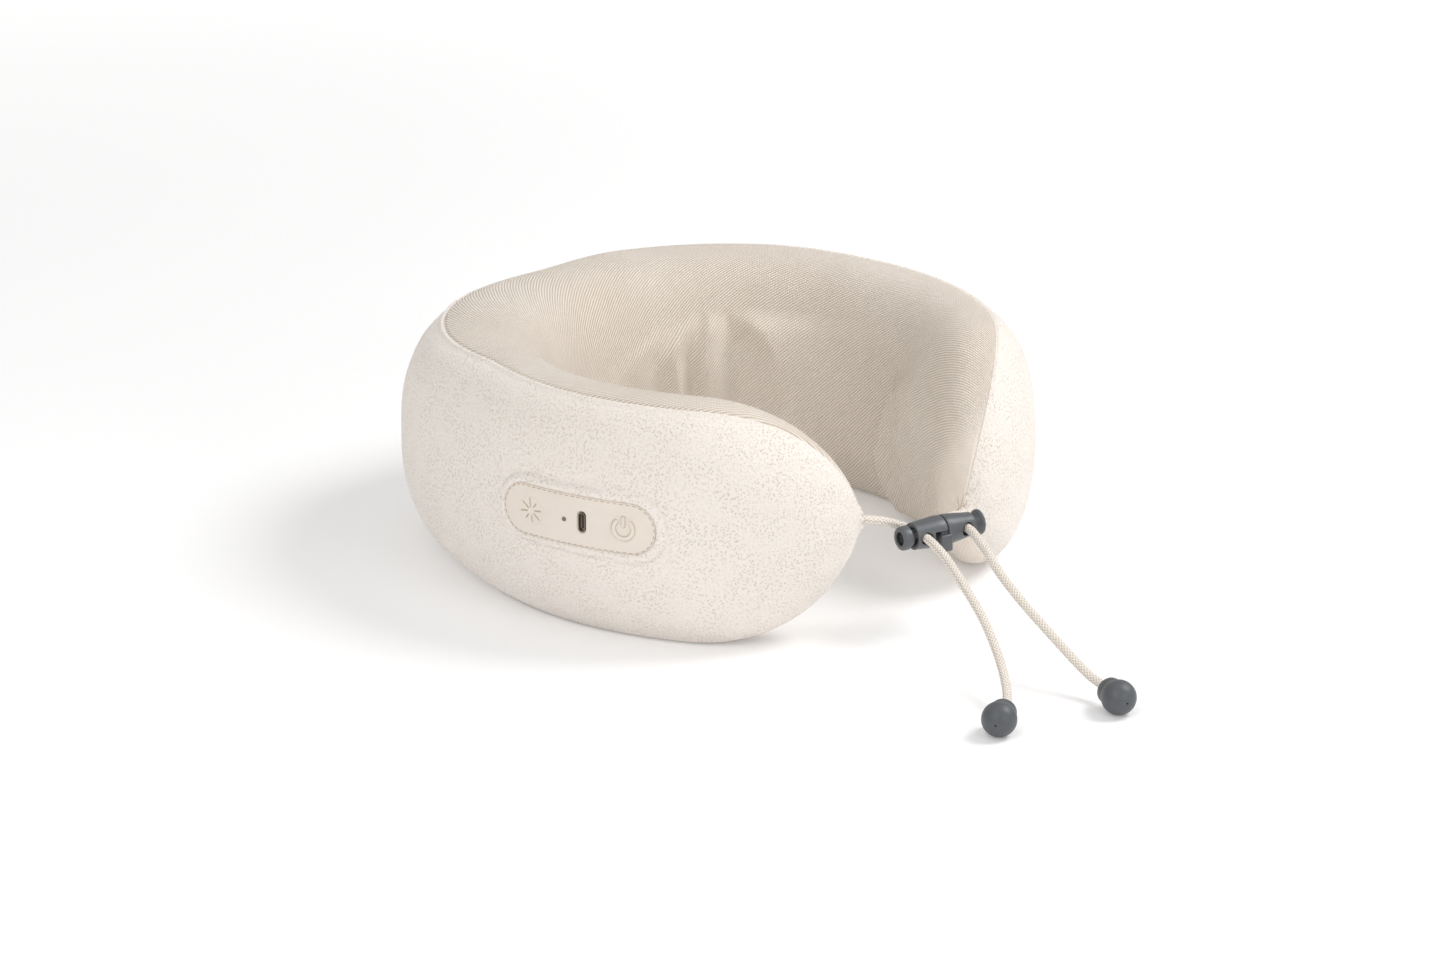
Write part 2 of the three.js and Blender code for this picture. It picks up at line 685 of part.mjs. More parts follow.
// one-start thread about X; its crest faces -Y at x = 0
function wormThread() {
  const turns = 3;
  const perTurn = 10;
  // thread section: radius, distance along the axis
  const profile = [[2.6, -1.2], [4.8, -0.34], [4.8, 0.34], [2.6, 1.2]];
  const steps = turns * perTurn;
  const points = [];
  for (let i = 0; i <= steps; i++) {
    const turn = i / perTurn - turns / 2;
    const angle = turn * 2 * Math.PI;
    for (const [radius, shift] of profile)
      points.push([
        WORM_LEAD * turn + shift,
        -radius * Math.cos(angle),
        -radius * Math.sin(angle),
      ]);
  }
  const faces = [];
  for (let i = 0; i < steps; i++)
    for (let k = 0; k < 4; k++) {
      const next = (k + 1) % 4;
      faces.push(...quad(4 * i + k, 4 * i + next, 4 * (i + 1) + next, 4 * (i + 1) + k));
    }
  const last = 4 * steps;
  faces.push(0, 2, 1, 0, 3, 2);
  faces.push(...quad(last, last + 1, last + 2, last + 3));
  return meshSolid(points, faces);
}

const onWormAxis = (solid) => solid.translate([0, WORM_Y, GEAR_R]);
// bearing for the end of the worm's shaft away from the motor
const bearingBlock = (zRange) => block([-19, -13], [WORM_Y - 4, WORM_Y + 4], zRange);
const bearingBore = () => onWormAxis(rodX(1.55, [-20.1, -10], 10));

// tray towards the pillow's outside
function caseRear() {
  let body = cut(
    caseBlock(0, [112.4, CASE.z[1]]),
    caseBlock(-CASE_WALL, [110, CASE.z[1] - CASE_WALL]),
  );
  body = cut(join(body, rodZ(7, [119.6, 124], 16)), rodZ(4.8, [118, 123.6], 20));
  return cut(join(body, bearingBlock([GEAR_R + 0.2, 124])), bearingBore());
}

// lid towards the neck
function caseFront() {
  let body = cut(
    caseBlock(0, [CASE.z[0], 112]),
    caseBlock(-CASE_WALL, [CASE.z[0] + CASE_WALL, 115]),
  );
  body = cut(join(body, rodZ(7.4, [98.4, 106.4], 16)), rodZ(5.3, [97, 110], 20));
  return cut(join(body, bearingBlock([102, GEAR_R - 1])), bearingBore());
}

function motor() {
  const profile = [
    [2.4, 14.6], [5, 14.6], [5, 16], [9.3, 16], [9.9, 16.7],
    [9.9, 42.4], [9.3, 43], [2.4, 43], [2.4, 14.6],
  ];
  return onWormAxis(lathe(profile, ALONG_X, 18));
}

// thread, core and motor shaft in one
const worm = () =>
  onWormAxis(join(wormThread(), rodX(3.1, [-6.6, 6.6], 12), rodX(1.45, [-18.6, 41], 10)));

const wormWheel = () =>
  cut(join(wheelDisc(), rodZ(6.4, [-6, 6], 14)), rodZ(3.05, [-10, 10], 20)).translate([
    0,
    0,
    GEAR_R,
  ]);

function bush(radius, [z0, z1]) {
  const bore = 3.06;
  return lathe([[bore, z0], [radius, z0], [radius, z1], [bore, z1], [bore, z0]], ALONG_Z, 20);
}

// arm with a hub on the output shaft and two posts
function nodeCarrier() {
  const body = cut(
    join(
      stadium(NODE_ORBIT, 9, [91.4, 95.9], 8).rotate([0, 0, 90]),
      rodZ(7, [91.4, 98.1], 18),
    ),
    rodZ(3.05, [91.9, 99], 20),
    rodZ(1.5, [90, 93], 8),
  );
  const posts = [-1, 1].map((s) => rodZ(4, [80, 92], 12).translate([s * NODE_ORBIT, 0, 0]));
  return join(body, ...posts);
}

// domed cap with a socket for its post
function node() {
  const domeZ = 71;
  const profile = [[0, domeZ]];
  for (let i = 1; i <= 6; i++) {
    const angle = (i / 6) * (Math.PI / 2);
    profile.push([NODE_R * Math.sin(angle), domeZ + NODE_R * (1 - Math.cos(angle))]);
  }
  profile.push([NODE_R, 88], [10.6, 91.1], [4.25, 91.1], [4.25, 79.6], [0, 79.6]);
  return lathe(profile, ALONG_Z, 16);
}

function carrierScrew() {
  const head = cut(rodZ(3.4, [88.9, 91.1], 12), block([-4, 4], [-0.5, 0.5], [88, 89.8]));
  return join(head, rodZ(1.3, [91, 92.2], 8));
}

for (const [name, side] of [["left", -1], ["right", 1]]) {
  const frame = moduleFrame(side);
  const put = (part, solid, finish) => add(`${name}_${part}`, placed(solid, frame), finish);
  put("case_rear", caseRear(), FINISH.case);
  put("case_front", caseFront(), FINISH.case);
  put("motor", motor(), FINISH.motor);
  put("worm", worm(), FINISH.worm);
  put("worm_wheel", wormWheel(), FINISH.wheel);
  put("output_shaft", rodZ(3.0, [92.4, 123.2], 20), FINISH.shaft);
  put("bush_rear", bush(4.7, [119.4, 123.5]), FINISH.bush);
  put("bush_front", bush(5.2, [98.6, 106.6]), FINISH.bush);
  put("node_carrier", nodeCarrier(), FINISH.carrier);
  put("node_a", node().translate([-NODE_ORBIT, 0, 0]), FINISH.node);
  put("node_b", node().translate([NODE_ORBIT, 0, 0]), FINISH.node);
  put("carrier_screw", carrierScrew(), FINISH.screw);
}

// ------------------------------------------------------------------ cord clip
// Both halves are drawn on the +X side; the left one is then mirrored.
const SIDES = ["left", "right"];
const toSide = (side, solid) => (side === "left" ? solid.mirror([1, 0, 0]) : solid);

// outer form: radius, distance from the clip's middle
const BARREL_FORM = {
  left: [[6.85, 3], [6.5, 8], [6.1, 12.5], [5.9, 15.2]],
  right: [[6.6, 3], [6.2, 7.5], [5.6, 12], [5.2, 15.2]],
};
function barrel(side) {
  const bore = [[3.75, 15.2], [3.75, 5.6], [0, 5.6]];
  const body = lathe([[0, 0.3], [6.8, 0.3], ...BARREL_FORM[side], ...bore], ALONG_X, 20);
  const cordHole = new THREE.CylinderGeometry(2.55, 2.55, 24, 12).translate(HOLE_X, 0, 0);
  return toSide(side, cut(body, toSolid(cordHole)));
}
// slot for the hook, open towards -Y
const leftBarrel = cut(
  barrel("left"),
  block([-4.4, -2.0], [-8, 3.4], [-3.5, 3.5]),
  block([-2.2, 0], [-8, 3.4], [-2.0, 2.0]),
);
// T-shaped hook: neck and head
const rightBarrel = join(
  barrel("right"),
  block([-2.4, 0.8], [-5.2, 3.0], [-1.6, 1.6]),
  block([-4.1, -2.3], [-5.2, 3.0], [-3.1, 3.1]),
);
add("left_barrel", placed(leftBarrel, clipFrame), FINISH.barrel);
add("right_barrel", placed(rightBarrel, clipFrame), FINISH.barrel);

// end button: radius, distance from the clip's middle
const BUTTON_FORM = {
  left: [[5.15, 17.1], [5.15, 21], [4.6, 21.5], [3.2, 21.5], [3.2, 19.2], [0, 19.2]],
  right: [[5.5, 17.1], [5.5, 19.4], [5.1, 19.9], [3.6, 19.9], [3.6, 21.5], [0, 21.5]],
};
for (const side of SIDES) {
  const stem = [[0, 8.3], [3.4, 8.3], [3.4, 17.1]];
  const body = lathe([...stem, ...BUTTON_FORM[side]], ALONG_X, 16);
  const plunger = toSide(side, cut(body, block([8.6, 15.4], [-6, 6], [-2.5, 2.5])));
  add(`${side}_plunger`, placed(plunger, clipFrame), FINISH.clipPlunger);
}

function spring() {
  const perTurn = 10;
  const count = 2.5 * perTurn;
  const coilR = 2.5;
  const path = [];
  for (let i = 0; i <= count; i++) {
    const angle = (i / perTurn) * 2 * Math.PI;
    path.push([6.0 + (2.0 * i) / count, coilR * Math.cos(angle), coilR * Math.sin(angle)]);
  }
  return bar(path, 0.2, 4, 24);
}
for (const side of SIDES)
  add(`${side}_spring`, placed(toSide(side, spring()), clipFrame), FINISH.spring);

// ------------------------------------------------------------------ beads and cords
// a ball with a collar, bored for the cord; X from the ball towards the cord
function bead({ centre, toCord }) {
  const profile = [];
  for (let i = 0; i <= 7; i++) {
    const angle = (i / 7) * Math.PI * 0.71;
    profile.push([BEAD_R * Math.sin(angle), -BEAD_R * Math.cos(angle)]);
  }
  profile.push([5.9, 5.6], [5.9, 8.0], [5.2, 9.5], [3.6, 10.4]);
  profile.push([2.55, 10.4], [2.55, 2.8], [0, 2.8]);
  const x = new THREE.Vector3(...toCord, 0).normalize();
  const z = new THREE.Vector3(0, 0, 1);
  const y = new THREE.Vector3().crossVectors(z, x);
  const frame = new THREE.Matrix4().makeBasis(x, y, z).setPosition(...centre);
  return placed(lathe(profile, ALONG_X, 16), frame);
}
for (const side of SIDES) add(`${side}_bead`, bead(BEADS[side]), FINISH.bead);

add("left_cord", bar(leftPath, CORD_R, 6, 38), FINISH.cord);
add("right_cord_inner", bar(rightInnerPath, CORD_R, 6, 14), FINISH.cord);
add("right_cord_tail", bar(rightTailPath, CORD_R, 6, 30), FINISH.cord);

export default group;
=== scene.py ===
import json
import math

import bmesh
import bpy
import numpy as np
from mathutils import Matrix, Vector

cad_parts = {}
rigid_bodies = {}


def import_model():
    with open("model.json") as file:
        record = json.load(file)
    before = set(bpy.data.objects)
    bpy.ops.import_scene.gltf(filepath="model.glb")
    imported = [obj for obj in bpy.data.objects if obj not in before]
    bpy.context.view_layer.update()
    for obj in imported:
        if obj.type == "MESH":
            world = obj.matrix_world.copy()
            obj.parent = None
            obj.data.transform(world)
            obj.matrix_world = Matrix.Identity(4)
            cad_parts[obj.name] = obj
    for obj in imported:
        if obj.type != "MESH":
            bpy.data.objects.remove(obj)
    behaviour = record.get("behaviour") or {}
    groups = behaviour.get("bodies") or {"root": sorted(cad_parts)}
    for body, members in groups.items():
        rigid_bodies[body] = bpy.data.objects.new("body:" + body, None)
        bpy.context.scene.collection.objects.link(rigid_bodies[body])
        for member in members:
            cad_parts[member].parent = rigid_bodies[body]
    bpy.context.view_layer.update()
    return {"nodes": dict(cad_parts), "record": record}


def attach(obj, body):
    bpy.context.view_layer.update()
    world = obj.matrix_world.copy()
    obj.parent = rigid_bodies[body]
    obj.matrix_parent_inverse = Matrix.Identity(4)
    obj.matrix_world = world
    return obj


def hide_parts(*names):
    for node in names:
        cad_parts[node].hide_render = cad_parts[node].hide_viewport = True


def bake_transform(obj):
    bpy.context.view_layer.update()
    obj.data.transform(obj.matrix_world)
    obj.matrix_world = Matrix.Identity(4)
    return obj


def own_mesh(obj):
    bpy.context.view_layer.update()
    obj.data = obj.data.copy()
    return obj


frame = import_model()
nodes = frame["nodes"]
scene = bpy.context.scene
MM = 0.001

# ------------------------------------------------------------------ pillow dimensions (mm)
# A station runs along the pillow: -1 at the left arm's tip, 0 at the back, 1 at the right tip.
# An angle in degrees runs round the section: 0 outwards, 90 up, 180 to the neck, 270 down.
RING_R = 104.5  # radius of the middle line
TIP_R = 127.0  # its distance from the ring's centre at the tips
TIP_ANGLE = 165.5  # degrees from the back to each tip
TIP_Z_LEFT, TIP_Z_RIGHT = 54.0, 41.0
WIDEN = 0.42  # station where the middle line starts to leave the ring
ROUND = 0.79  # station where the arms start to round off
END = ROUND + (1 - ROUND) * 0.982  # last station of the fabric
# half sizes and seam angles at the back, along the sides and at the arms
HALF_THICK = (41, 33.5, 28.5)
HALF_HIGH = (53.5, 54.5, 55.5)
SEAM = (56, 77, 73)
SUPER = 2.25  # superellipse power of the section
FULL, FULL_SUPER = 3.4, 0.35  # extra thickness and power where the outside is fuller
SINK = 2.0  # how far the section is flattened into the floor

PANEL_STATION = 111.4 / TIP_ANGLE  # the control panel is on the left side
PANEL_Z = 58.0
PANEL_LENGTH, PANEL_HIGH = 76.0, 23.0
TO_ORIGIN = Vector((0, -RING_R * MM, 0))


def ease(x, start, end):
    """Smooth step from 0 at start to 1 at end; end may be below start."""
    x = np.clip((x - start) / (end - start), 0, 1)
    return x * x * (3 - 2 * x)


def bell(x, centre, width, height=1.0):
    return height * np.exp(-(((x - centre) / width) ** 2))


def profile(station, sizes):
    """A size along the pillow from its values at the back, sides and arms."""
    back, side, arm = sizes
    return np.interp(
        np.abs(station), [0, 0.15, 0.45, 0.75, 1], [back, back * 0.9 + side * 0.1, side, arm, arm]
    )


def spine(station):
    spread = np.clip((np.abs(station) - WIDEN) / (1 - WIDEN), 0, 1) ** 2
    radius = RING_R * (1 - spread) + TIP_R * spread
    angle = np.radians(station * TIP_ANGLE)
    return radius * np.sin(angle), radius * np.cos(angle)


def end_share(station):
    """0 along the pillow, rising to 1 at the tips."""
    return np.clip((np.abs(station) - ROUND) / (1 - ROUND), 0, 1)


def section(station):
    """Middle, outward direction, half thickness, half height and centre height."""
    station = np.asarray(station, float)
    x, y = spine(station)
    x0, y0 = spine(station - 1e-4)
    x1, y1 = spine(station + 1e-4)
    length = np.hypot(x1 - x0, y1 - y0)
    out_x, out_y = -(y1 - y0) / length, (x1 - x0) / length
    end = end_share(station)
    half_thick = profile(station, HALF_THICK) * np.sqrt(1 - end**1.3)
    high = profile(station, HALF_HIGH)
    half_high = (high + SINK / 2) * (1 - end**2.4) ** 0.62
    tip_z = np.where(station < 0, TIP_Z_LEFT, TIP_Z_RIGHT)
    centre_z = (high - SINK / 2) * (1 - end * end) + tip_z * end * end
    return x, y, out_x, out_y, half_thick, half_high, np.maximum(centre_z, half_high - SINK)


def skin(station, angle, inset=0.0):
    """Points of the pillow's smooth outside."""
    x, y, out_x, out_y, half_thick, half_high, centre_z = section(station)
    cosine, sine = np.cos(np.radians(angle)), np.sin(np.radians(angle))
    along = np.abs(station)
    full = np.where(cosine > 0, ease(along, 0, 0.12) * ease(along, 0.5, 0.3), 0.0)
    full = full * np.where(sine < 0, np.maximum(0, 1 - 1.2 * sine * sine), 1.0)
    power = 2 / (SUPER + FULL_SUPER * full)
    out = np.maximum(half_thick + FULL * full - inset, 0.2) * np.sign(cosine)
    out = out * np.abs(cosine) ** power
    rise = np.maximum(half_high - inset, 0.2) * np.sign(sine) * np.abs(sine) ** power
    return np.stack([x + out_x * out, y + out_y * out, np.maximum(inset, centre_z + rise)], -1)


def skin_normal(station, angle):
    along = skin(station + 2e-4, angle) - skin(station - 2e-4, angle)
    around = skin(station, angle + 0.4) - skin(station, angle - 0.4)
    normal = np.cross(along, around)
    normal /= np.linalg.norm(normal, axis=-1, keepdims=True) + 1e-12
    x, y, *_, centre_z = section(station)
    flat = 0 * angle
    out = skin(station, angle) - np.stack([x + flat, y + flat, centre_z + flat], -1)
    return normal * np.sign(np.sum(normal * out, -1, keepdims=True) + 1e-12)


# ------------------------------------------------------------------ mesh helpers
def new_object(name, points, faces):
    """A smooth-shaded mesh object from points in mm."""
    mesh = bpy.data.meshes.new(name)
    mesh.from_pydata(
        [tuple(p) for p in np.asarray(points, float) * MM], [], [tuple(f) for f in faces]
    )
    mesh.validate()
    mesh.update()
    mesh.polygons.foreach_set("use_smooth", [True] * len(mesh.polygons))
    return link_mesh(name, mesh)


def link_mesh(name, mesh):
    ob = bpy.data.objects.new(name, mesh)
    scene.collection.objects.link(ob)
    return ob


def outward(ob):
    bm = bmesh.new()
    bm.from_mesh(ob.data)
    bmesh.ops.recalc_face_normals(bm, faces=bm.faces)
    bm.to_mesh(ob.data)
    bm.free()
    return ob


def ring_faces(rings, seg):
    """Quads between neighbouring rings of seg points."""
    faces = []
    for i in range(rings - 1):
        for j in range(seg):
            k = (j + 1) % seg
            faces.append((i * seg + j, i * seg + k, (i + 1) * seg + k, (i + 1) * seg + j))
    return faces


def ring_solid(name, rings):
    """A closed solid through equal rings of points, with flat ends."""
    count, seg = len(rings), len(rings[0])
    points = [point for ring in rings for point in ring]
    faces = ring_faces(count, seg)
    faces += [tuple(reversed(range(seg))), tuple(range((count - 1) * seg, count * seg))]
    return outward(new_object(name, points, faces))


def store_weave(ob, values):
    """The fabric coordinates that the materials read."""
    attribute = ob.data.attributes.new("fab", "FLOAT_VECTOR", "POINT")
    attribute.data.foreach_set("vector", np.asarray(values, np.float32).reshape(-1))


def apply_modifiers(ob):
    depsgraph = bpy.context.evaluated_depsgraph_get()
    mesh = bpy.data.meshes.new_from_object(ob.evaluated_get(depsgraph))
    ob.modifiers.clear()
    ob.data = mesh


def combine(ob, tool, operation="DIFFERENCE"):
    """Apply a boolean with the tool, then remove the tool."""
    modifier = ob.modifiers.new("cut", "BOOLEAN")
    modifier.operation, modifier.solver, modifier.object = operation, "EXACT", tool
    apply_modifiers(ob)
    bpy.data.objects.remove(tool)


def join(name, parts):
    bm = bmesh.new()
    for part in parts:
        bm.from_mesh(part.data)
    mesh = bpy.data.meshes.new(name)
    bm.to_mesh(mesh)
    bm.free()
    mesh.polygons.foreach_set("use_smooth", [True] * len(mesh.polygons))
    ob = link_mesh(name, mesh)
    for part in parts:
        bpy.data.objects.remove(part)
    return ob


def shade_by_angle(ob, degrees):
    mesh = ob.data
    mesh.polygons.foreach_set("use_smooth", [True] * len(mesh.polygons))
    bm = bmesh.new()
    bm.from_mesh(mesh)
    limit = math.radians(degrees)
    for edge in bm.edges:
        edge.smooth = not (len(edge.link_faces) == 2 and edge.calc_face_angle(0) > limit)
    bm.to_mesh(mesh)
    bm.free()


def lathe(name, outline, seg=64):
    """Turn an outline of (radius, x) about the X axis; it starts and ends on the axis."""
    points, faces, rows = [], [], []
    for radius, x in outline:
        if radius < 1e-6:
            rows.append([len(points)])
            points.append((x, 0, 0))
            continue
        rows.append(list(range(len(points), len(points) + seg)))
        for i in range(seg):
            angle = 2 * math.pi * i / seg
            points.append((x, radius * math.cos(angle), radius * math.sin(angle)))
    for row, after in zip(rows, rows[1:]):
        for i in range(seg):
            j = (i + 1) % seg
            if len(row) == 1:
                faces.append((row[0], after[i], after[j]))
            elif len(after) == 1:
                faces.append((row[i], after[0], row[j]))
            else:
                faces.append((row[i], after[i], after[j], row[j]))
    return outward(new_object(name, points, faces))


def filleted(corners, seg=4):
    """(radius, x) outline from corners of (radius, x, fillet)."""
    outline = []
    for i, (radius, x, fillet) in enumerate(corners):
        if fillet <= 0 or i in (0, len(corners) - 1):
            outline.append((radius, x))
            continue
        corner = np.array([radius, x])
        before = np.array(corners[i - 1][:2]) - corner
        after = np.array(corners[i + 1][:2]) - corner
        before_length, after_length = np.linalg.norm(before), np.linalg.norm(after)
        reach = min(fillet, before_length * 0.49, after_length * 0.49)
        start = corner + before / before_length * reach
        end = corner + after / after_length * reach
        for k in range(seg + 1):
            t = k / seg
            point = (1 - t) ** 2 * start + 2 * t * (1 - t) * corner + t * t * end
            outline.append((max(0.0, float(point[0])), float(point[1])))
    return outline


def block(name, x, y, z, bevel=0.0):
    """A box over the ranges x, y and z."""
    bm = bmesh.new()
    bmesh.ops.create_cube(bm, size=1)
    for v in bm.verts:
        v.co = [(low + high) / 2 + c * (high - low) for c, (low, high) in zip(v.co, (x, y, z))]
    if bevel:
        edges = list(bm.edges)
        bmesh.ops.bevel(bm, geom=edges, offset=bevel, segments=3, affect="EDGES", profile=0.5)
    mesh = bpy.data.meshes.new(name)
    bm.to_mesh(mesh)
    bm.free()
    mesh.transform(Matrix.Scale(MM, 4))
    return link_mesh(name, mesh)


def between(a, b, time_a, time_b, t):
    return (time_b - t) / (time_b - time_a) * a + (t - time_a) / (time_b - time_a) * b


def smooth_path(points, step):
    """Centripetal Catmull-Rom through the points, evenly spaced, and the length along it."""
    knots = [np.array(p, float) for p in points]
    knots = [2 * knots[0] - knots[1]] + knots + [2 * knots[-1] - knots[-2]]
    path = []
    for i in range(1, len(knots) - 2):
        four = knots[i - 1 : i + 3]
        times = [0.0]
        for a, b in zip(four, four[1:]):
            times.append(times[-1] + np.linalg.norm(b - a) ** 0.5)
        for t in np.linspace(times[1], times[2], 24, endpoint=False):
            level = four
            for gap in (1, 2):
                level = [
                    between(level[k], level[k + 1], times[k], times[k + gap], t)
                    for k in range(4 - gap)
                ]
            path.append(between(level[0], level[1], times[1], times[2], t))
    path.append(knots[-2])
    path = np.array(path)
    steps = np.linalg.norm(np.diff(path, axis=0), axis=1)
    length = np.concatenate([[0], np.cumsum(steps)])
    spots = np.linspace(0, length[-1], max(4, int(length[-1] / step)))
    return np.stack([np.interp(spots, length, path[:, k]) for k in range(3)], 1), spots


def path_frames(path):
    """Two directions square to the path, carried along it without twist."""
    tangents = np.gradient(path, axis=0)
    tangents /= np.linalg.norm(tangents, axis=1, keepdims=True)
    side = np.cross(tangents[0], [0, 0, 1.0])
    if np.linalg.norm(side) < 0.1:
        side = np.cross(tangents[0], [0, 1.0, 0])
    side /= np.linalg.norm(side)
    sides = []
    for tangent in tangents:
        side = side - tangent * np.dot(side, tangent)
        side /= np.linalg.norm(side)
        sides.append(side)
    sides = np.array(sides)
    return sides, np.cross(tangents, sides)


def turn_angles(seg):
    return np.linspace(0, 2 * np.pi, seg, endpoint=False)


def tube(name, path, radii):
    """radii has a row for each point of the path and a column for each side of the tube."""
    side, other = path_frames(path)
    count, seg = radii.shape
    angle = turn_angles(seg)[None, :, None]
    around = np.cos(angle) * side[:, None] + np.sin(angle) * other[:, None]
    points = path[:, None] + radii[..., None] * around
    points = np.vstack([points.reshape(-1, 3), path[0], path[-1]])
    faces = ring_faces(count, seg)
    first, last = count * seg, (count - 1) * seg
    faces += [(first, (j + 1) % seg, j) for j in range(seg)]
    faces += [(first + 1, last + j, last + (j + 1) % seg) for j in range(seg)]
    return outward(new_object(name, points, faces))


def axes_matrix(x, y, z, origin):
    matrix = Matrix((x, y, z)).transposed().to_4x4()
    matrix.translation = origin
    return matrix


# ------------------------------------------------------------------ material helpers
def lin(rgb):
    """Linear colour from 0-255 sRGB."""
    shares = [v / 255 for v in rgb]
    return tuple(v / 12.92 if v <= 0.04045 else ((v + 0.055) / 1.055) ** 2.4 for v in shares) + (
        1.0,
    )


class Look:
    """A Principled material and the nodes that feed it."""

    def __init__(self, name):
        self.material = bpy.data.materials.new(name)
        self.material.use_nodes = True
        self.tree = self.material.node_tree
        self.tree.nodes.clear()
        output = self.node("ShaderNodeOutputMaterial")
        self.shader = self.node("ShaderNodeBsdfPrincipled")
        self.put(output.inputs[0], self.shader.outputs[0])

    def put(self, socket, value):
        """Link another node's socket, or set a plain value."""
        if isinstance(value, bpy.types.NodeSocket):
            self.tree.links.new(value, socket)
        else:
            socket.default_value = value

    def fill(self, node, inputs):
        for name, value in inputs.items():
            self.put(node.inputs[name], value)

    def node(self, kind, *inputs, **settings):
        node = self.tree.nodes.new(kind)
        for name, value in settings.items():
            setattr(node, name, value)
        for i, value in enumerate(inputs):
            self.put(node.inputs[i], value)
        return node

    def math(self, operation, *values):
        return self.node("ShaderNodeMath", *values, operation=operation).outputs[0]

    def weighted(self, *terms):
        """Sum of (value, weight) terms."""
        total = None
        for value, weight in terms:
            part = self.math("MULTIPLY", value, weight)
            total = part if total is None else self.math("ADD", total, part)
        return total

    def sine(self, turns):
        return self.math("SINE", self.math("MULTIPLY", turns, 2 * math.pi))

    def to_unit(self, wave):
        """Bring -1..1 to 0..1."""
        return self.math("MULTIPLY_ADD", wave, 0.5, 0.5)

    def ramp(self, value, start, end, low=0.0, high=1.0):
        kind = "ShaderNodeMapRange"
        node = self.node(kind, value, start, end, low, high, interpolation_type="SMOOTHSTEP")
        return node.outputs[0]

    def mix(self, factor, a, b):
        node = self.node("ShaderNodeMix", data_type="RGBA")
        for i, value in ((0, factor), (6, a), (7, b)):
            self.put(node.inputs[i], value)
        return node.outputs[2]

    def two_tone(self, value, dark, light, start, end):
        return self.mix(self.ramp(value, start, end), lin(dark), lin(light))

    def tint(self, colour, rgb, by, start, end, amount):
        """Tint the colour by up to amount where the value "by" is high."""
        return self.mix(self.ramp(by, start, end, high=amount), colour, lin(rgb))

    def object_place(self):
        return self.node("ShaderNodeTexCoord").outputs["Object"]

    def weave_place(self):
        return self.node("ShaderNodeAttribute", attribute_name="fab").outputs["Vector"]

    def noise(self, place, scale, detail=3, rough=0.5, output=0):
        node = self.node("ShaderNodeTexNoise")
        self.fill(node, {"Vector": place, "Scale": scale, "Detail": detail, "Roughness": rough})
        return node.outputs[output]

    def cells(self, place, scale, feature="F1", dims="3D"):
        node = self.node("ShaderNodeTexVoronoi", feature=feature, voronoi_dimensions=dims)
        self.fill(node, {"Vector": place, "Scale": scale})
        return node.outputs["Distance"]

    def bump(self, height, distance, strength):
        node = self.node("ShaderNodeBump")
        self.fill(node, {"Strength": strength, "Distance": distance, "Height": height})
        return node.outputs[0]

    def finish(self, colour, rough, normal=None, metal=0.0, sheen=0.0, spec=None, coat=0.0):
        inputs = {"Base Color": colour, "Roughness": rough, "Metallic": metal}
        if normal is not None:
            inputs["Normal"] = normal
        if sheen:
            inputs.update({"Sheen Weight": sheen, "Sheen Roughness": 0.5})
        if spec is not None:
            inputs["Specular IOR Level"] = spec
        if coat:
            inputs.update({"Coat Weight": coat, "Coat Roughness": 0.15})
        self.fill(self.shader, inputs)
        return self.material


# ------------------------------------------------------------------ materials
FLEECE_RGB, FLEECE_PIT_SHADE = (237, 230, 223), (213, 200, 187)
TWILL_RGB, TWILL_GROOVE_SHADE, TWILL_LIGHT = (243, 234, 223), (196, 180, 164), (249, 242, 234)
RIB_PITCH, YARN_LENGTH = 1.28, 1.3  # twill, mm


def fleece_look():
    """Napped fleece: a pebbled pile with small pits about every 1.7 mm; the pits are painted
    darker, a painted shade in the hollows.
    """
    m = Look("fleece_fabric")
    place = m.object_place()
    weave = m.weave_place()
    wobble = m.noise(weave, scale=0.35, detail=2, output="Color")
    wander = (2.2, 2.2, 0)  # how far the pattern strays, mm
    warp = m.node("ShaderNodeVectorMath", wobble, wander, weave, operation="MULTIPLY_ADD")
    warped = warp.outputs[0]
    pits = m.cells(warped, scale=0.62, dims="2D")
    pebble = m.cells(warped, scale=0.85, feature="SMOOTH_F1", dims="2D")
    patch = m.noise(place, scale=90, detail=2)
    pile = m.ramp(pits, start=0.08, end=0.34)  # 0 in a pit, 1 on the pile
    depth = m.ramp(patch, start=0.34, end=0.6, low=0.45)  # pits are fainter in places
    pile = m.math("SUBTRACT", 1.0, m.math("MULTIPLY", m.math("SUBTRACT", 1.0, pile), depth))
    broad = m.noise(place, scale=14)
    fuzz = m.noise(place, scale=2600, detail=4, rough=0.7)
    soft = m.noise(place, scale=900, detail=2)
    # painted shade: the pits take the darker colour
    colour = m.mix(pile, lin(FLEECE_PIT_SHADE), lin(FLEECE_RGB))
    colour = m.tint(colour, (229, 220, 210), by=broad, start=0.3, end=0.7, amount=0.2)
    colour = m.tint(colour, (212, 200, 187), by=fuzz, start=0.3, end=0.75, amount=0.16)
    # shares of each layer in the height
    height = m.weighted((pile, 0.8), (fuzz, 0.3), (soft, 0.9))
    height = m.math("SUBTRACT", height, m.math("MULTIPLY", pebble, 0.9))
    normal = m.bump(height, distance=0.00028, strength=0.8)
    return m.finish(colour, rough=0.93, normal=normal, sheen=0.3, spec=0.12)


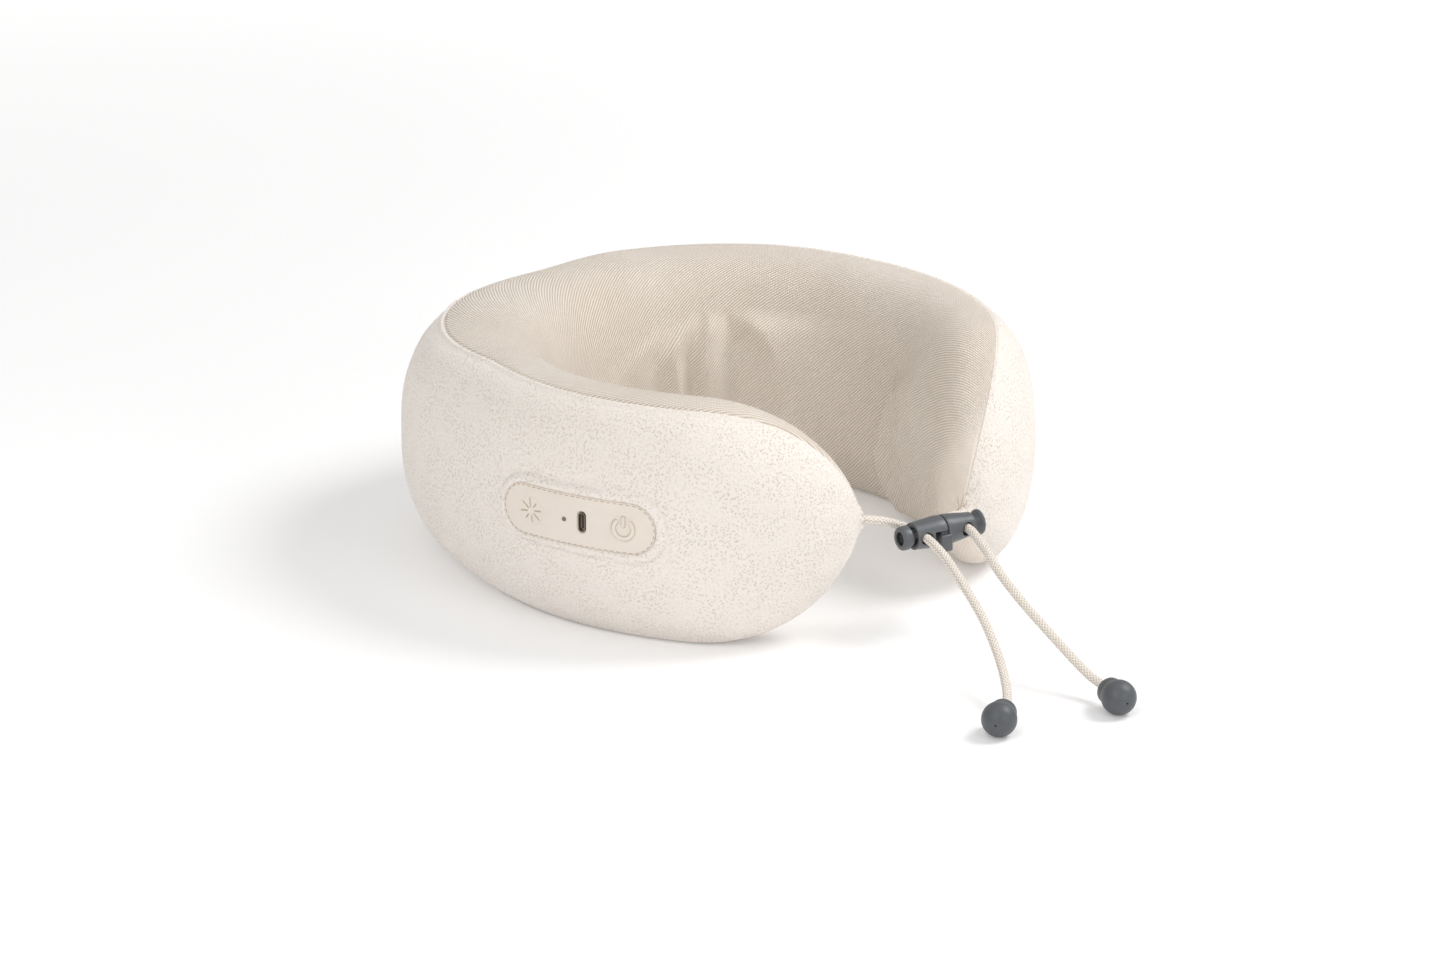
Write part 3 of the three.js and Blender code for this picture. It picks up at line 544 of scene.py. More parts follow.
def twill_look():
    """Twill: diagonal ribs, each a row of short yarns; the grooves between the ribs are painted
    darker, a painted shade.
    """
    m = Look("twill_fabric")
    weave = m.weave_place()
    u, v, closed = m.node("ShaderNodeSeparateXYZ", weave).outputs
    wobble = m.noise(weave, scale=0.16, detail=2)
    fine = m.noise(weave, scale=0.9, detail=2)
    # ribs run square to (0.6, 0.8); the two noises bend them, mm
    diagonal = m.weighted((u, 0.60), (v, 0.80), (wobble, 0.5), (fine, 0.22))
    turn = m.math("MULTIPLY", diagonal, 2 * math.pi / RIB_PITCH)
    rib = m.to_unit(m.math("SINE", turn))
    cross = m.weighted((u, 0.80), (v, -0.60))
    # each rib's yarns are staggered by half a yarn
    stagger = m.math("MULTIPLY", m.math("FLOOR", m.math("DIVIDE", diagonal, RIB_PITCH)), 0.5)
    yarn = m.sine(m.math("ADD", m.math("DIVIDE", cross, YARN_LENGTH), stagger))
    yarn = m.to_unit(yarn)
    rib_power, yarn_share, middle = 0.6, 0.45, 0.49
    yarn = m.math("MULTIPLY_ADD", yarn, yarn_share, 1 - yarn_share)
    height = m.math("MULTIPLY", m.math("POWER", rib, rib_power), yarn)
    # the weave closes up where the arm ends are drawn together
    keep = m.math("SUBTRACT", 1.0, m.math("MULTIPLY", closed, 0.85))
    height = m.math("MULTIPLY", m.math("SUBTRACT", height, middle), keep)
    height = m.math("ADD", height, middle)
    place = m.object_place()
    fuzz = m.noise(place, scale=2400, detail=4, rough=0.7)
    broad = m.noise(place, scale=16)
    uneven = m.noise(place, scale=130, rough=0.6)
    # painted shade: low parts of the weave take the darker colour
    colour = m.two_tone(height, TWILL_GROOVE_SHADE, TWILL_RGB, start=0.05, end=0.85)
    colour = m.tint(colour, TWILL_LIGHT, by=broad, start=0.3, end=0.7, amount=0.3)
    colour = m.tint(colour, (204, 190, 176), by=uneven, start=0.35, end=0.7, amount=0.14)
    colour = m.tint(colour, (198, 184, 169), by=fuzz, start=0.3, end=0.8, amount=0.2)
    height = m.math("ADD", height, m.math("MULTIPLY", fuzz, 0.35))
    normal = m.bump(height, distance=0.00045, strength=0.9)
    return m.finish(colour, rough=0.9, normal=normal, sheen=0.25, spec=0.12)


def foam_look():
    m = Look("open_cell_foam")
    place = m.object_place()
    cells = m.cells(place, scale=1400)
    broad = m.noise(place, scale=40, rough=0.6)
    # painted shade: the cell hollows take the darker colour
    colour = m.two_tone(cells, (212, 200, 178), (236, 228, 210), start=0.05, end=0.5)
    colour = m.tint(colour, (226, 214, 190), by=broad, start=0.3, end=0.7, amount=0.2)
    normal = m.bump(cells, distance=0.0002, strength=0.6)
    return m.finish(colour, rough=0.95, normal=normal, spec=0.1)


def cord_look():
    """A braid of strands that wind both ways; the grooves between the strands are painted darker, a
    painted shade.
    """
    m = Look("braided_cord")
    # mm along the cord, turns round it
    length, turn, _ = m.node("ShaderNodeSeparateXYZ", m.weave_place()).outputs
    strands, pitch = 8, 1.9
    ways = [
        m.sine(m.math(way, m.math("MULTIPLY", turn, strands), m.math("DIVIDE", length, pitch)))
        for way in ("ADD", "SUBTRACT")
    ]
    height = m.to_unit(m.math("MAXIMUM", *ways))
    fibre = m.noise(m.object_place(), scale=3000, detail=4, rough=0.7)
    # painted shade: the grooves between strands take the darker colour
    colour = m.two_tone(height, (194, 180, 166), (242, 234, 225), start=0.1, end=0.9)
    colour = m.tint(colour, (206, 193, 178), by=fibre, start=0.3, end=0.8, amount=0.25)
    height = m.math("ADD", height, m.math("MULTIPLY", fibre, 0.4))
    normal = m.bump(height, distance=0.0003, strength=0.85)
    return m.finish(colour, rough=0.85, normal=normal, sheen=0.3, spec=0.15)


def plain(name, rgb, rough, grain=1200, bump=0.00003, var=0.06, **extras):
    """Moulded finish: faint colour drift, uneven gloss and fine grain."""
    m = Look(name)
    place = m.object_place()
    patches = m.noise(place, scale=60, rough=0.6)
    fine = m.noise(place, scale=grain, rough=0.6)
    dark = tuple(v * (1 - 2.2 * var) for v in rgb)
    colour = m.two_tone(patches, dark, rgb, start=0.25, end=0.75)
    low, high = max(0.02, rough - 0.07), min(1.0, rough + 0.07)
    gloss = m.ramp(fine, start=0.2, end=0.8, low=low, high=high)
    return m.finish(colour, gloss, m.bump(fine, distance=bump, strength=0.6), **extras)


def brushed(name, rgb, rough):
    """Metal with fine streaks round the Z axis."""
    m = Look(name)
    mapping = m.node("ShaderNodeMapping", m.object_place())
    m.fill(mapping, {"Scale": (1, 1, 14)})
    streak = m.noise(mapping.outputs[0], scale=500, rough=0.6)
    dark = tuple(v * 0.86 for v in rgb)
    colour = m.two_tone(streak, dark, rgb, start=0.3, end=0.7)
    gloss = m.ramp(streak, start=0.2, end=0.8, low=rough - 0.08, high=rough + 0.12)
    normal = m.bump(streak, distance=0.00002, strength=0.5)
    return m.finish(colour, gloss, normal, metal=1.0)


PAD_GRAIN = dict(grain=1800, bump=0.00004)
GREY_GRAIN = dict(grain=1500, bump=0.000035, var=0.03, spec=0.5)
# plain(name, sRGB colour, roughness, ...)
MATERIALS = {
    "fleece": fleece_look(),
    "twill": twill_look(),
    "foam": foam_look(),
    "cord": cord_look(),
    "soft_pad": plain(
        "silicone_pad", (228, 218, 207), 0.62, var=0.01, spec=0.35, sheen=0.1, **PAD_GRAIN
    ),
    # a shade lighter than the pad: a painted highlight on the raised symbol
    "icon": plain("raised_symbol_painted_highlight", (229, 220, 209), 0.6, var=0.01, spec=0.35, **PAD_GRAIN),
    # painted shade: the dark rim round the power symbol and the floors of the rays
    "icon_sunk": plain("symbol_painted_shade", (190, 172, 148), 0.7, var=0.02, spec=0.2, **PAD_GRAIN),
    # brown thread, darkened in part as a painted shadow of the gap at the pad's edge
    "stitch": plain("stitch_thread_and_edge_shade", (186, 163, 139), 0.85, grain=3000, bump=0.0001, var=0.05),
    "cream_plastic": plain("cream_plastic", (214, 204, 190), 0.55, var=0.02),
    "grey_plastic": plain("grey_satin_plastic", (89, 92, 96), 0.4, **GREY_GRAIN),
    "grey_bead": plain("grey_bead_plastic", (85, 88, 92), 0.46, **GREY_GRAIN),
    "black_plastic": plain("black_plastic", (30, 30, 32), 0.5, var=0.04),
    "white_plastic": plain("acetal", (232, 228, 214), 0.4, var=0.02),
    "red_plastic": plain("red_plunger", (150, 44, 38), 0.45, var=0.04),
    "diffuser": plain("dark_indicator", (112, 100, 90), 0.35, var=0.02, coat=0.3),
    "board": plain("solder_mask", (28, 92, 52), 0.35, coat=0.4),
    "wrap": plain("shrink_wrap", (52, 92, 158), 0.3, var=0.05, coat=0.5),
    "film": plain("heater_film", (44, 42, 44), 0.5),
    "wire_jacket": plain("wire_jacket", (26, 26, 30), 0.55, var=0.05),
    "node_rubber": plain(
        "node_silicone", (120, 112, 106), 0.6, grain=1600, bump=0.00006, var=0.04
    ),
    "steel": brushed("brushed_steel", (196, 199, 203), rough=0.28),
    # the USB port's shell: dark warm brown instead of steel grey, a painted shade in the port
    "port_steel_painted_shade": brushed("port_steel_painted_shade", (146, 132, 116), rough=0.35),
    "brass": brushed("machined_brass", (206, 166, 92), rough=0.3),
}


def register(ob, look, body=None, replaces=()):
    """Paint a piece, hide the nodes it replaces and attach it to the body it rides on."""
    ob.data.materials.clear()
    ob.data.materials.append(MATERIALS[look])
    if replaces:
        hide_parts(*replaces)
    if body:
        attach(ob, body)


def paint_cad():
    slot_of = {part["node"]: part["material_slot"] for part in frame["record"]["subparts"]}
    for name, ob in nodes.items():
        look = slot_of[name]
        if not ob.material_slots:
            ob.data.materials.append(MATERIALS[look])
        for slot in ob.material_slots:
            slot.link = "OBJECT"
            # the USB shell gets the painted shade of the port
            slot.material = MATERIALS["port_steel_painted_shade" if name == "usb_shell" else look]


paint_cad()

# ------------------------------------------------------------------ swelling of the padding
SIM_ROWS, SIM_OUTER, SIM_INNER = 131, 16, 28  # columns outside and inside the seams
SIM_COLUMNS = SIM_OUTER + SIM_INNER
SIM_INSET = 3.0
SIM_FRAMES = 20
sim_stations = np.linspace(-0.993, 0.993, SIM_ROWS)
# a little closer together at the tips
sim_stations = np.sign(sim_stations) * (1 - (1 - np.abs(sim_stations)) ** 1.12)


def column_angles(station):
    """Angles round the section, with a column on each seam."""
    seam = profile(station, SEAM)
    angles = [-seam + 2 * seam * j / SIM_OUTER for j in range(SIM_OUTER)]
    angles += [seam + (360 - 2 * seam) * j / SIM_INNER for j in range(SIM_INNER)]
    return np.stack(angles, -1)


def seam_share(angle, seam):
    """0 to 1 from seam to seam, across the outer or the inner fabric."""
    outer_share = (angle + seam) / (2 * seam)
    return np.where(angle <= seam, outer_share, (angle - seam) / (360 - 2 * seam))


sim_angles = column_angles(sim_stations)
sim_along = np.repeat(sim_stations[:, None], SIM_COLUMNS, 1)


def sim_object(points):
    faces = []
    for i in range(SIM_ROWS - 1):
        row, after = i * SIM_COLUMNS, (i + 1) * SIM_COLUMNS
        for j in range(SIM_COLUMNS):
            k = (j + 1) % SIM_COLUMNS
            faces.append((row + j, after + j, after + k, row + k))
    last = (SIM_ROWS - 1) * SIM_COLUMNS
    faces.append(tuple(range(SIM_COLUMNS)))
    faces.append(tuple(last + j for j in reversed(range(SIM_COLUMNS))))
    return outward(new_object("padding_sim", points.reshape(-1, 3), faces))


def simulated_lift():
    """How far pressure lifts cloth pinned at the seams, tips and floor, mm on the sim grid."""
    start = skin(sim_along, sim_angles, SIM_INSET)
    normal = skin_normal(sim_along, sim_angles)
    ob = sim_object(start)
    pinned = start[..., 2] < SIM_INSET + 0.6
    pinned[:, [0, SIM_OUTER]] = True
    pinned[[0, 1, -2, -1]] = True
    group = ob.vertex_groups.new(name="pin")
    group.add(np.flatnonzero(pinned).tolist(), 1.0, "REPLACE")
    modifier = ob.modifiers.new("cloth", "CLOTH")
    cloth = modifier.settings
    # light, slack fabric, so that the pressure can lift it between the seams
    cloth.quality = 10
    cloth.mass = 0.004
    cloth.tension_stiffness = cloth.compression_stiffness = 0.2
    cloth.shear_stiffness = 0.08
    cloth.bending_stiffness = 0.0133
    cloth.tension_damping = cloth.compression_damping = cloth.shear_damping = 0.067
    cloth.bending_damping = 0.0067
    cloth.air_damping = 0.053
    cloth.vertex_group_mass = "pin"
    cloth.use_pressure = True
    cloth.uniform_pressure_force = 4.0
    cloth.effector_weights.gravity = 0
    modifier.collision_settings.use_collision = False
    modifier.point_cache.frame_start, modifier.point_cache.frame_end = 1, SIM_FRAMES
    scene.frame_start, scene.frame_end = 1, SIM_FRAMES
    for number in range(1, SIM_FRAMES + 1):
        scene.frame_set(number)
    evaluated = ob.evaluated_get(bpy.context.evaluated_depsgraph_get())
    mesh = evaluated.to_mesh()
    moved = np.array([v.co for v in mesh.vertices]).reshape(start.shape) / MM
    evaluated.to_mesh_clear()
    scene.frame_set(1)
    bpy.data.objects.remove(ob)
    return np.clip(np.sum((moved - start) * normal, -1), -4, 9)


def padding_swell():
    """The crown the foam holds up between the seams, and what the cloth adds to it."""
    share = seam_share(sim_angles, profile(sim_stations, SEAM)[:, None])
    crown = 1.0 + 2.3 * ease(sim_along, 0.35, 0.55)
    swell = crown * np.sin(np.pi * np.clip(share, 0, 1)) ** 0.6
    lift = simulated_lift()
    for _ in range(2):
        lift[1:-1] = (lift[:-2] + 2 * lift[1:-1] + lift[2:]) / 4
        lift = (np.roll(lift, 1, 1) + 2 * lift + np.roll(lift, -1, 1)) / 4
    swell = swell + 0.28 * np.clip(lift, -2.5, 3.5)
    return swell


swell_grid = padding_swell()


def bilinear(grid, row, column):
    """Values of a grid that wraps round in its columns."""
    i = np.clip(np.floor(row).astype(int), 0, grid.shape[0] - 2)
    down = np.clip(row - i, 0, 1)
    j = np.floor(column).astype(int)
    across = column - j
    j0, j1 = j % grid.shape[1], (j + 1) % grid.shape[1]
    return (
        grid[i, j0] * (1 - down) * (1 - across)
        + grid[i + 1, j0] * down * (1 - across)
        + grid[i, j1] * (1 - down) * across
        + grid[i + 1, j1] * down * across
    )


def swell_at(station, angle):
    """Movement of the padding out of the skin, mm."""
    seam = profile(station, SEAM)
    share = seam_share(angle, seam)
    column = np.where(angle <= seam, share * SIM_OUTER, SIM_OUTER + share * SIM_INNER)
    row = np.interp(station, sim_stations, np.arange(SIM_ROWS))
    return np.clip(bilinear(swell_grid, row, column), -0.2, 5.5) * 0.62 - 1.3


# ------------------------------------------------------------------ folds, gathers and drift
rng = np.random.default_rng(7)
# wave vectors (radians per mm) and phases of the slow unevenness
DRIFT_WAVES = [
    (rng.normal(size=3) * frequency, rng.uniform(0, 6.28))
    for frequency in (0.035, 0.05, 0.05, 0.07, 0.09, 0.11, 0.05, 0.08)
]
# station of the main crease between the pleats, by angle
PLEAT_ANGLES = [140, 148.5, 161, 173, 188, 205, 220]
PLEAT_STATIONS = [0.262, 0.276, 0.291, 0.306, 0.316, 0.322, 0.325]
PLEAT_MM = 193.0  # mm for each unit of station
PLEAT_HIGH = 7.4  # height of the large pleat
# station of the crease where the arm's padding begins, by angle
LOBE_ANGLES = [150, 165, 181, 195, 210, 225, 240]
LOBE_STATIONS = [0.80, 0.745, 0.70, 0.674, 0.672, 0.676, 0.68]
LOBE_MM = 205.0


def drift(points):
    return sum(np.sin(points @ wave + phase) for wave, phase in DRIFT_WAVES) / len(DRIFT_WAVES)


def pleats(station, angle):
    """Pleats of the neck fabric over a kneading module on the +X side, mm."""
    x = (station - np.interp(angle, PLEAT_ANGLES, PLEAT_STATIONS)) * PLEAT_MM
    opening = 0.42 + 0.58 * ease(angle, 143, 169)  # pleats open out downwards
    # large pleat towards the arm: a rise, then a slow fall, rounded into each other
    wide = 18.5 * opening
    rise = np.maximum(PLEAT_HIGH * (np.maximum(x, 0.01) / wide) ** 1.25, 1e-3)
    fall = PLEAT_HIGH * np.exp(-np.maximum(0, x - wide) / 24.0)
    arm_side = (rise**-7 + fall**-7) ** (-1 / 7)
    # three ridges towards the back
    away = np.maximum(0, -x) / opening
    near = 5.8 * ease(away, 0, 13) * (1 - ease(away, 15.5, 24))
    nip = bell(away, centre=9.5, width=3.0, height=-0.5) * ease(angle, 160, 150)
    second = bell(away, centre=32.0, width=5.6, height=4.8)
    third = bell(away, centre=50.0, width=9.0, height=2.2)
    third = third + bell(away, centre=30.0, width=18.0, height=1.2)
    back_side = near + nip + second + third * ease(angle, 146, 162)
    relief = np.where(x > 0, arm_side, 0.0) + np.where(x < 0, back_side, 0.0)
    return relief * ease(angle, 143, 156) * ease(angle, 224, 204)


def arm_lobe(station, angle):
    """The arm's own padding stands out from the neck padding along a soft crease, +X side."""
    x = (station - np.interp(angle, LOBE_ANGLES, LOBE_STATIONS)) * LOBE_MM
    lobe = 5.6 * ease(x, -2.6, 3.0) * np.exp(-np.maximum(0, x - 3.0) / 20.0)
    lobe = lobe + bell(x, centre=-4.6, width=3.4, height=-0.9)
    lobe = lobe * ease(angle, 150, 172) * ease(angle, 246, 230)
    return np.where(station > 0.4, lobe, 0.0)


def station_length(station, span=1e-3):
    """Plan length of the outside for each unit of station, mm."""
    ends = skin(station - span / 2, 0.0) - skin(station + span / 2, 0.0)
    return np.linalg.norm(ends[:2]) / span


PANEL_MM = station_length(-PANEL_STATION)


def panel_uv(station, points):
    """Distance towards the opening from the panel's middle, and above it, mm."""
    return -(station + PANEL_STATION) * PANEL_MM, points[..., 2] - PANEL_Z


def panel_distance(u, v):
    """Distance outside the panel's pill shape, mm."""
    radius = PANEL_HIGH / 2
    return np.hypot(np.maximum(np.abs(u) - (PANEL_LENGTH / 2 - radius), 0), v) - radius


# ------------------------------------------------------------------ fabric covers
TUCK = 9.0  # degrees the inner fabric runs on under the outer one
# distances of the columns beside a seam, and of those tucked under it, mm
EDGE = np.array([0, 0.2, 0.45, 0.75, 1.1, 1.5, 2.0, 2.6, 3.4, 4.4, 5.8, 7.5])
UNDER = np.array([-2.6, -1.6, -0.8, -0.3])
FOAM_DEPTH = 1.9  # the foam's skin below the pillow's, measured across the arm
REST_Z = 0.12  # lowest height of the fabric
TIP_STEPS = np.linspace(0, 1, 9)[1:]  # rows that close an arm's end
TIP_DEPTH = 2.3  # how far the closed end bulges
TIP_HOLE_R = 1.95  # radius left round the cord
TIP_THICK = 0.7


def cover_stations(fine_panel):
    """Rows of a cover, closer at the tips and, if wanted, at the panel."""
    stations = [0.0]
    while stations[-1] < END:
        last = stations[-1]
        step = 0.0036
        if last > 0.86:
            step = 0.0026
        if last > 0.95:
            step = 0.0014
        stations.append(last + step)
    stations[-1] = END
    right = np.array(stations)
    rows = np.concatenate([-right[::-1][:-1], right])
    if fine_panel:
        low, high = -0.80, -0.545
        rest = rows[(rows < low) | (rows > high)]
        rows = np.sort(np.concatenate([rest, np.arange(low, high, 0.0019)]))
    return rows


def cover_columns(kind, stations, middle):
    """Angles of the columns, crowded to the seams, and their distances from a seam."""
    seam = profile(stations, SEAM)
    tuck = 0.0 if kind == "outer" else TUCK
    under = np.array([]) if kind == "outer" else UNDER
    start, end = (-seam, seam) if kind == "outer" else (seam - tuck, 360 - seam + tuck)
    share = np.linspace(0, 1, 901)
    angles = start[:, None] + (end - start)[:, None] * share[None]
    points = skin(stations[:, None] + 0 * angles, angles)
    steps = np.linalg.norm(np.diff(points, axis=1), axis=-1)
    length = np.concatenate([np.zeros((len(stations), 1)), np.cumsum(steps, axis=1)], 1)
    columns = np.zeros((len(stations), 2 * len(EDGE) + len(middle) + 2 * len(under)))
    distance = np.zeros_like(columns)
    for i in range(len(stations)):
        first = np.interp(start[i] + tuck, angles[i], length[i])
        total = np.interp(end[i] - tuck, angles[i], length[i]) - first
        scale = min(1.0, total / 55.0)
        edge = EDGE * scale
        low = edge[-1] + 0.9 * scale
        inside = low + (total - 2 * low) * middle
        hidden = under * scale
        spots = [hidden, edge, inside, total - edge[::-1], total - hidden[::-1]]
        spots = np.concatenate(spots)
        columns[i] = np.interp(spots + first, length[i], angles[i])
        distance[i] = np.minimum(spots, total - spots) / max(scale, 0.25)
    return columns, distance


def base_relief(along, angles, points, end, gather):
    """Swell, drift and the gathers where the fabric is drawn together at the tips."""
    turn = np.radians(angles)
    folds = 0.5 * np.sin(turn * 9 + 1.3) + 0.35 * np.sin(turn * 17 + along * 9)
    relief = swell_at(along, angles) + 0.35 * drift(points)
    relief = relief + gather * folds * ease(end, 1, 0.75)
    return relief * (0.25 + 0.75 * ease(end, 1, 0.88))


def outer_relief(along, angles, points, edge, end):
    relief = base_relief(along, angles, points, end, gather=0.5 * ease(end, 0.5, 0.92))
    u, v = panel_uv(along, points)
    away = panel_distance(u, v)
    # the raised band round the panel is wider towards the opening and on top
    wide = 2.6 + 2.0 * np.maximum(ease(u, -34, 26), 0.55 * ease(v, 0, 8))
    band = 1.75 * np.sin(np.pi * np.clip((away / wide + 0.15) / 1.15, 0, 1)) ** 0.6
    groove = bell(away, centre=wide + 0.35, width=0.55, height=-0.5) * (away > 0)
    under = -1.1 * ease(away, 0.6, -0.6)
    relief = relief * ease(away, 5, 21) + band + groove + under
    roll = bell(edge, centre=1.3, width=1.3, height=0.7)
    roll = roll + bell(edge, centre=0, width=0.5, height=-1.75)
    return relief + roll * (1 - 0.65 * end)


def inner_relief(along, angles, points, edge, end):
    relief = base_relief(along, angles, points, end, gather=0.3 * ease(end, 0.86, 0.98))
    relief = relief + pleats(along, angles)
    relief = relief + 0.6 * pleats(-along, angles) * ease(angles, 162, 184)
    relief = relief + arm_lobe(along, angles) + arm_lobe(-along, angles)
    tucked = -0.75 - 0.85 * np.clip(-edge / 1.2, 0, 1)
    roll = np.where(edge < 0, tucked, bell(edge, centre=0, width=1.8, height=-0.75))
    relief = relief + roll * (1 - 0.65 * end)
    # drawn in a little along the top of the back
    return relief - ease(np.abs(along), 0.52, 0.38) * bell(angles, centre=98, width=34, height=0.6)


def above_foam(relief, kind, along, normal, edge):
    """Keep the fabric from sinking into the foam."""
    _, _, out_x, out_y = section(along)[:4]
    lean = normal[..., 0] * -out_y + normal[..., 1] * out_x
    depth = FOAM_DEPTH * np.sqrt(np.maximum(0.0, 1 - lean**2))
    spare = 0.4 if kind == "outer" else 0.18 + 0.57 * ease(edge, 0.1, 1.6)
    return np.maximum(relief, -np.maximum(depth - spare, -0.25))


def arm_end(side):
    """Middle of a pinched arm tip and the way it points."""
    top_and_bottom = np.array([90.0, 270.0])
    centre = skin(np.array([side * END] * 2), top_and_bottom).mean(0)
    ahead = centre - skin(np.array(side * (END - 0.006)), top_and_bottom).mean(0)
    return centre, ahead / np.linalg.norm(ahead)


def tip_rows(side, rim, angles, lift):
    """Outside and inside rows that close an arm's end round its cord."""
    centre, ahead = arm_end(side)
    arm = rim - centre
    length = np.linalg.norm(arm, axis=-1, keepdims=True)
    turn = np.radians(angles)[:, None]
    pleat = 1 + 0.35 * np.sin(turn * 10 + 0.7) + 0.2 * np.sin(turn * 19)
    rows = []
    for f in TIP_STEPS:
        closing = f * f * (3 - 2 * f) * 0.5 + f * 0.5
        bulge = TIP_DEPTH * math.sin(f * math.pi / 2) * pleat ** (4 * f * (1 - f)) + lift
        radius = length * (1 - closing) + TIP_HOLE_R * closing
        rows.append(centre + ahead * bulge + arm / length * radius)
    rows = np.array(rows)
    return rows, rows - ahead * TIP_THICK


def shell_faces(rows, columns):
    """Outside and inside sheets of a grid, and the edges between them."""
    index = np.arange(rows * columns).reshape(rows, columns)
    k = rows * columns
    a, b = index[:-1, :-1].ravel(), index[1:, :-1].ravel()
    c, d = index[1:, 1:].ravel(), index[:-1, 1:].ravel()
    faces = list(zip(a, b, c, d)) + list(zip(a + k, d + k, c + k, b + k))
    for line in (index[:, 0], index[:, -1]):
        faces += [(p, p + k, q + k, q) for p, q in zip(line, line[1:])]
    for line in (index[0], index[-1]):
        faces += [(p, q, q + k, p + k) for p, q in zip(line, line[1:])]
    return faces


def weave_coordinates(kind, stations, along, points, normal):
    """mm along and round the pillow, whatever the pleats do, and how far the weave closes up."""
    tips = len(TIP_STEPS)
    columns = points.shape[1]
    tip = np.full(tips, 0.9)
    step = np.linalg.norm(np.diff(points, axis=0), axis=-1).mean(1)
    u = np.concatenate([[0], np.cumsum(np.concatenate([tip, step, tip]))])
    u = np.repeat((u - u[len(u) // 2])[:, None], columns, 1)
    step = np.linalg.norm(np.diff(points, axis=1), axis=-1)
    v = np.concatenate([np.zeros((len(points), 1)), np.cumsum(step, axis=1)], 1)
    v = v - v[:, columns // 2][:, None]
    v = np.concatenate([np.repeat(v[:1], tips, 0), v, np.repeat(v[-1:], tips, 0)])
    at_tip = np.repeat(ease(np.abs(stations), 0.94, 0.99)[:, None], columns, 1)
    below = ease(-normal[..., 2], 0.05, 0.45) * ease(np.abs(along), 0.84, 0.91)
    whole = np.ones((tips, columns))
    closed = np.concatenate([whole, np.maximum(at_tip, below), whole]) * (kind == "inner")
    return np.stack([u, v, closed], -1).reshape(-1, 3)


def build_cover(name, kind, stations, middle, thick):
    angles, edge = cover_columns(kind, stations, middle)
    along = np.repeat(stations[:, None], angles.shape[1], 1)
    points, normal = skin(along, angles), skin_normal(along, angles)
    relief_of = outer_relief if kind == "outer" else inner_relief
    relief = relief_of(along, angles, points, edge, end_share(along))
    relief = above_foam(relief, kind, along, normal, edge)
    outside = points + normal * relief[..., None]
    inside = outside - normal * thick * np.where(edge < 1.0, 0.55, 1.0)[..., None]
    # settled flat where it rests
    outside[..., 2] = np.maximum(outside[..., 2], REST_Z)
    inside[..., 2] = np.maximum(inside[..., 2], REST_Z + thick * 0.5)
    lift = 0.0 if kind == "outer" else -0.45
    left_out, left_in = tip_rows(-1, outside[0], angles[0], lift)
    right_out, right_in = tip_rows(1, outside[-1], angles[-1], lift)
    outside = np.concatenate([left_out[::-1], outside, right_out])
    inside = np.concatenate([left_in[::-1], inside, right_in])
    both = np.concatenate([outside.reshape(-1, 3), inside.reshape(-1, 3)])
    ob = outward(new_object(name, both, shell_faces(*outside.shape[:2])))
    weave = weave_coordinates(kind, stations, along, points, normal)
    store_weave(ob, np.concatenate([weave, weave]))
    return ob


def even(count):
    return (np.arange(count) + 0.5) / count


def outer_middle(count):
    """Middle columns of the outer cover, crowded round the panel's height."""
    share = np.linspace(0, 1, 400)
    density = 1.0 + 1.7 * np.exp(-(((share - 0.52) / 0.15) ** 4))
    total = np.concatenate([[0], np.cumsum((density[1:] + density[:-1]) / 2)])
    return np.interp(even(count), total / total[-1], share)


fleece = build_cover("fleece_cover", "outer", cover_stations(True), outer_middle(84), thick=1.3)
register(fleece, "fleece", "pillow", ["outer_cover"])
twill = build_cover("twill_cover", "inner", cover_stations(False), even(88), thick=1.2)
register(twill, "twill", "pillow", ["inner_cover"])

# ------------------------------------------------------------------ control panel (mm)
PAD_TOP = 1.15  # height of the pad over the skin
# (inset from the pad's outline, height) of the pad's loops
PAD_LOOPS = [(0.0, 0.12), (0.0, 0.55), (0.12, 0.85), (0.4, 1.05)]
PAD_LOOPS += [(0.8, PAD_TOP), (1.6, PAD_TOP + 0.02)]
PAD_LOOPS += [(inset, PAD_TOP + 0.03) for inset in (2.6, 4.0, 5.6, 7.4, 9.2, 10.6, 11.35)]
PAD_ARC, PAD_STRAIGHT = 26, 34  # points in each end and each straight side
# places along the panel, positive towards the opening
HEAT_U, LED_U, USB_U, POWER_U = -22.3, -4.6, 4.0, 23.6
HEAT_R, POWER_R = 6.5, 5.9
KEY_GAP = 0.05
LED_R = 0.45
USB_WIDE, USB_HIGH = 3.4, 9.2
USB_FLARE, USB_FLARE_FROM = 4.8, 0.3
CUT_LOW, CUT_HIGH = -4, 6  # reach of the cutters through the pad
POWER_RING_R = 4.35
# rays of the warmth symbol: (angle before RAY_TURN, inner radius, outer radius, width)
RAYS = [
    (90, 1.3, 5.6, 0.85), (45, 1.9, 4.6, 0.75), (0, 1.7, 5.2, 0.85), (-45, 1.3, 5.9, 0.95),
    (-90, 1.9, 5.0, 0.85), (-135, 1.8, 4.7, 0.75), (180, 1.8, 5.6, 0.85), (135, 1.3, 5.9, 0.95),
]
RAY_TURN, RAY_STRETCH, RAY_MAX_R = 8, 1.08, 6.05
STITCH_INSET, STITCH_PITCH, STITCH_SHARE, STITCH_R = 0.62, 2.9, 0.8, 0.135


def panel_point(u, v, height):
    x, y, out_x, out_y, half_thick, half_high, centre_z = section(
        -(PANEL_STATION + np.asarray(u, float) / PANEL_MM)
    )
    z = PANEL_Z + np.asarray(v, float)
    rise = np.clip(np.abs((z - centre_z) / (half_high + height)), 0, 0.999)
    out = (half_thick + height) * (1 - rise**SUPER) ** (1 / SUPER)
    return np.stack([x + out_x * out, y + out_y * out, z + 0 * x], -1)


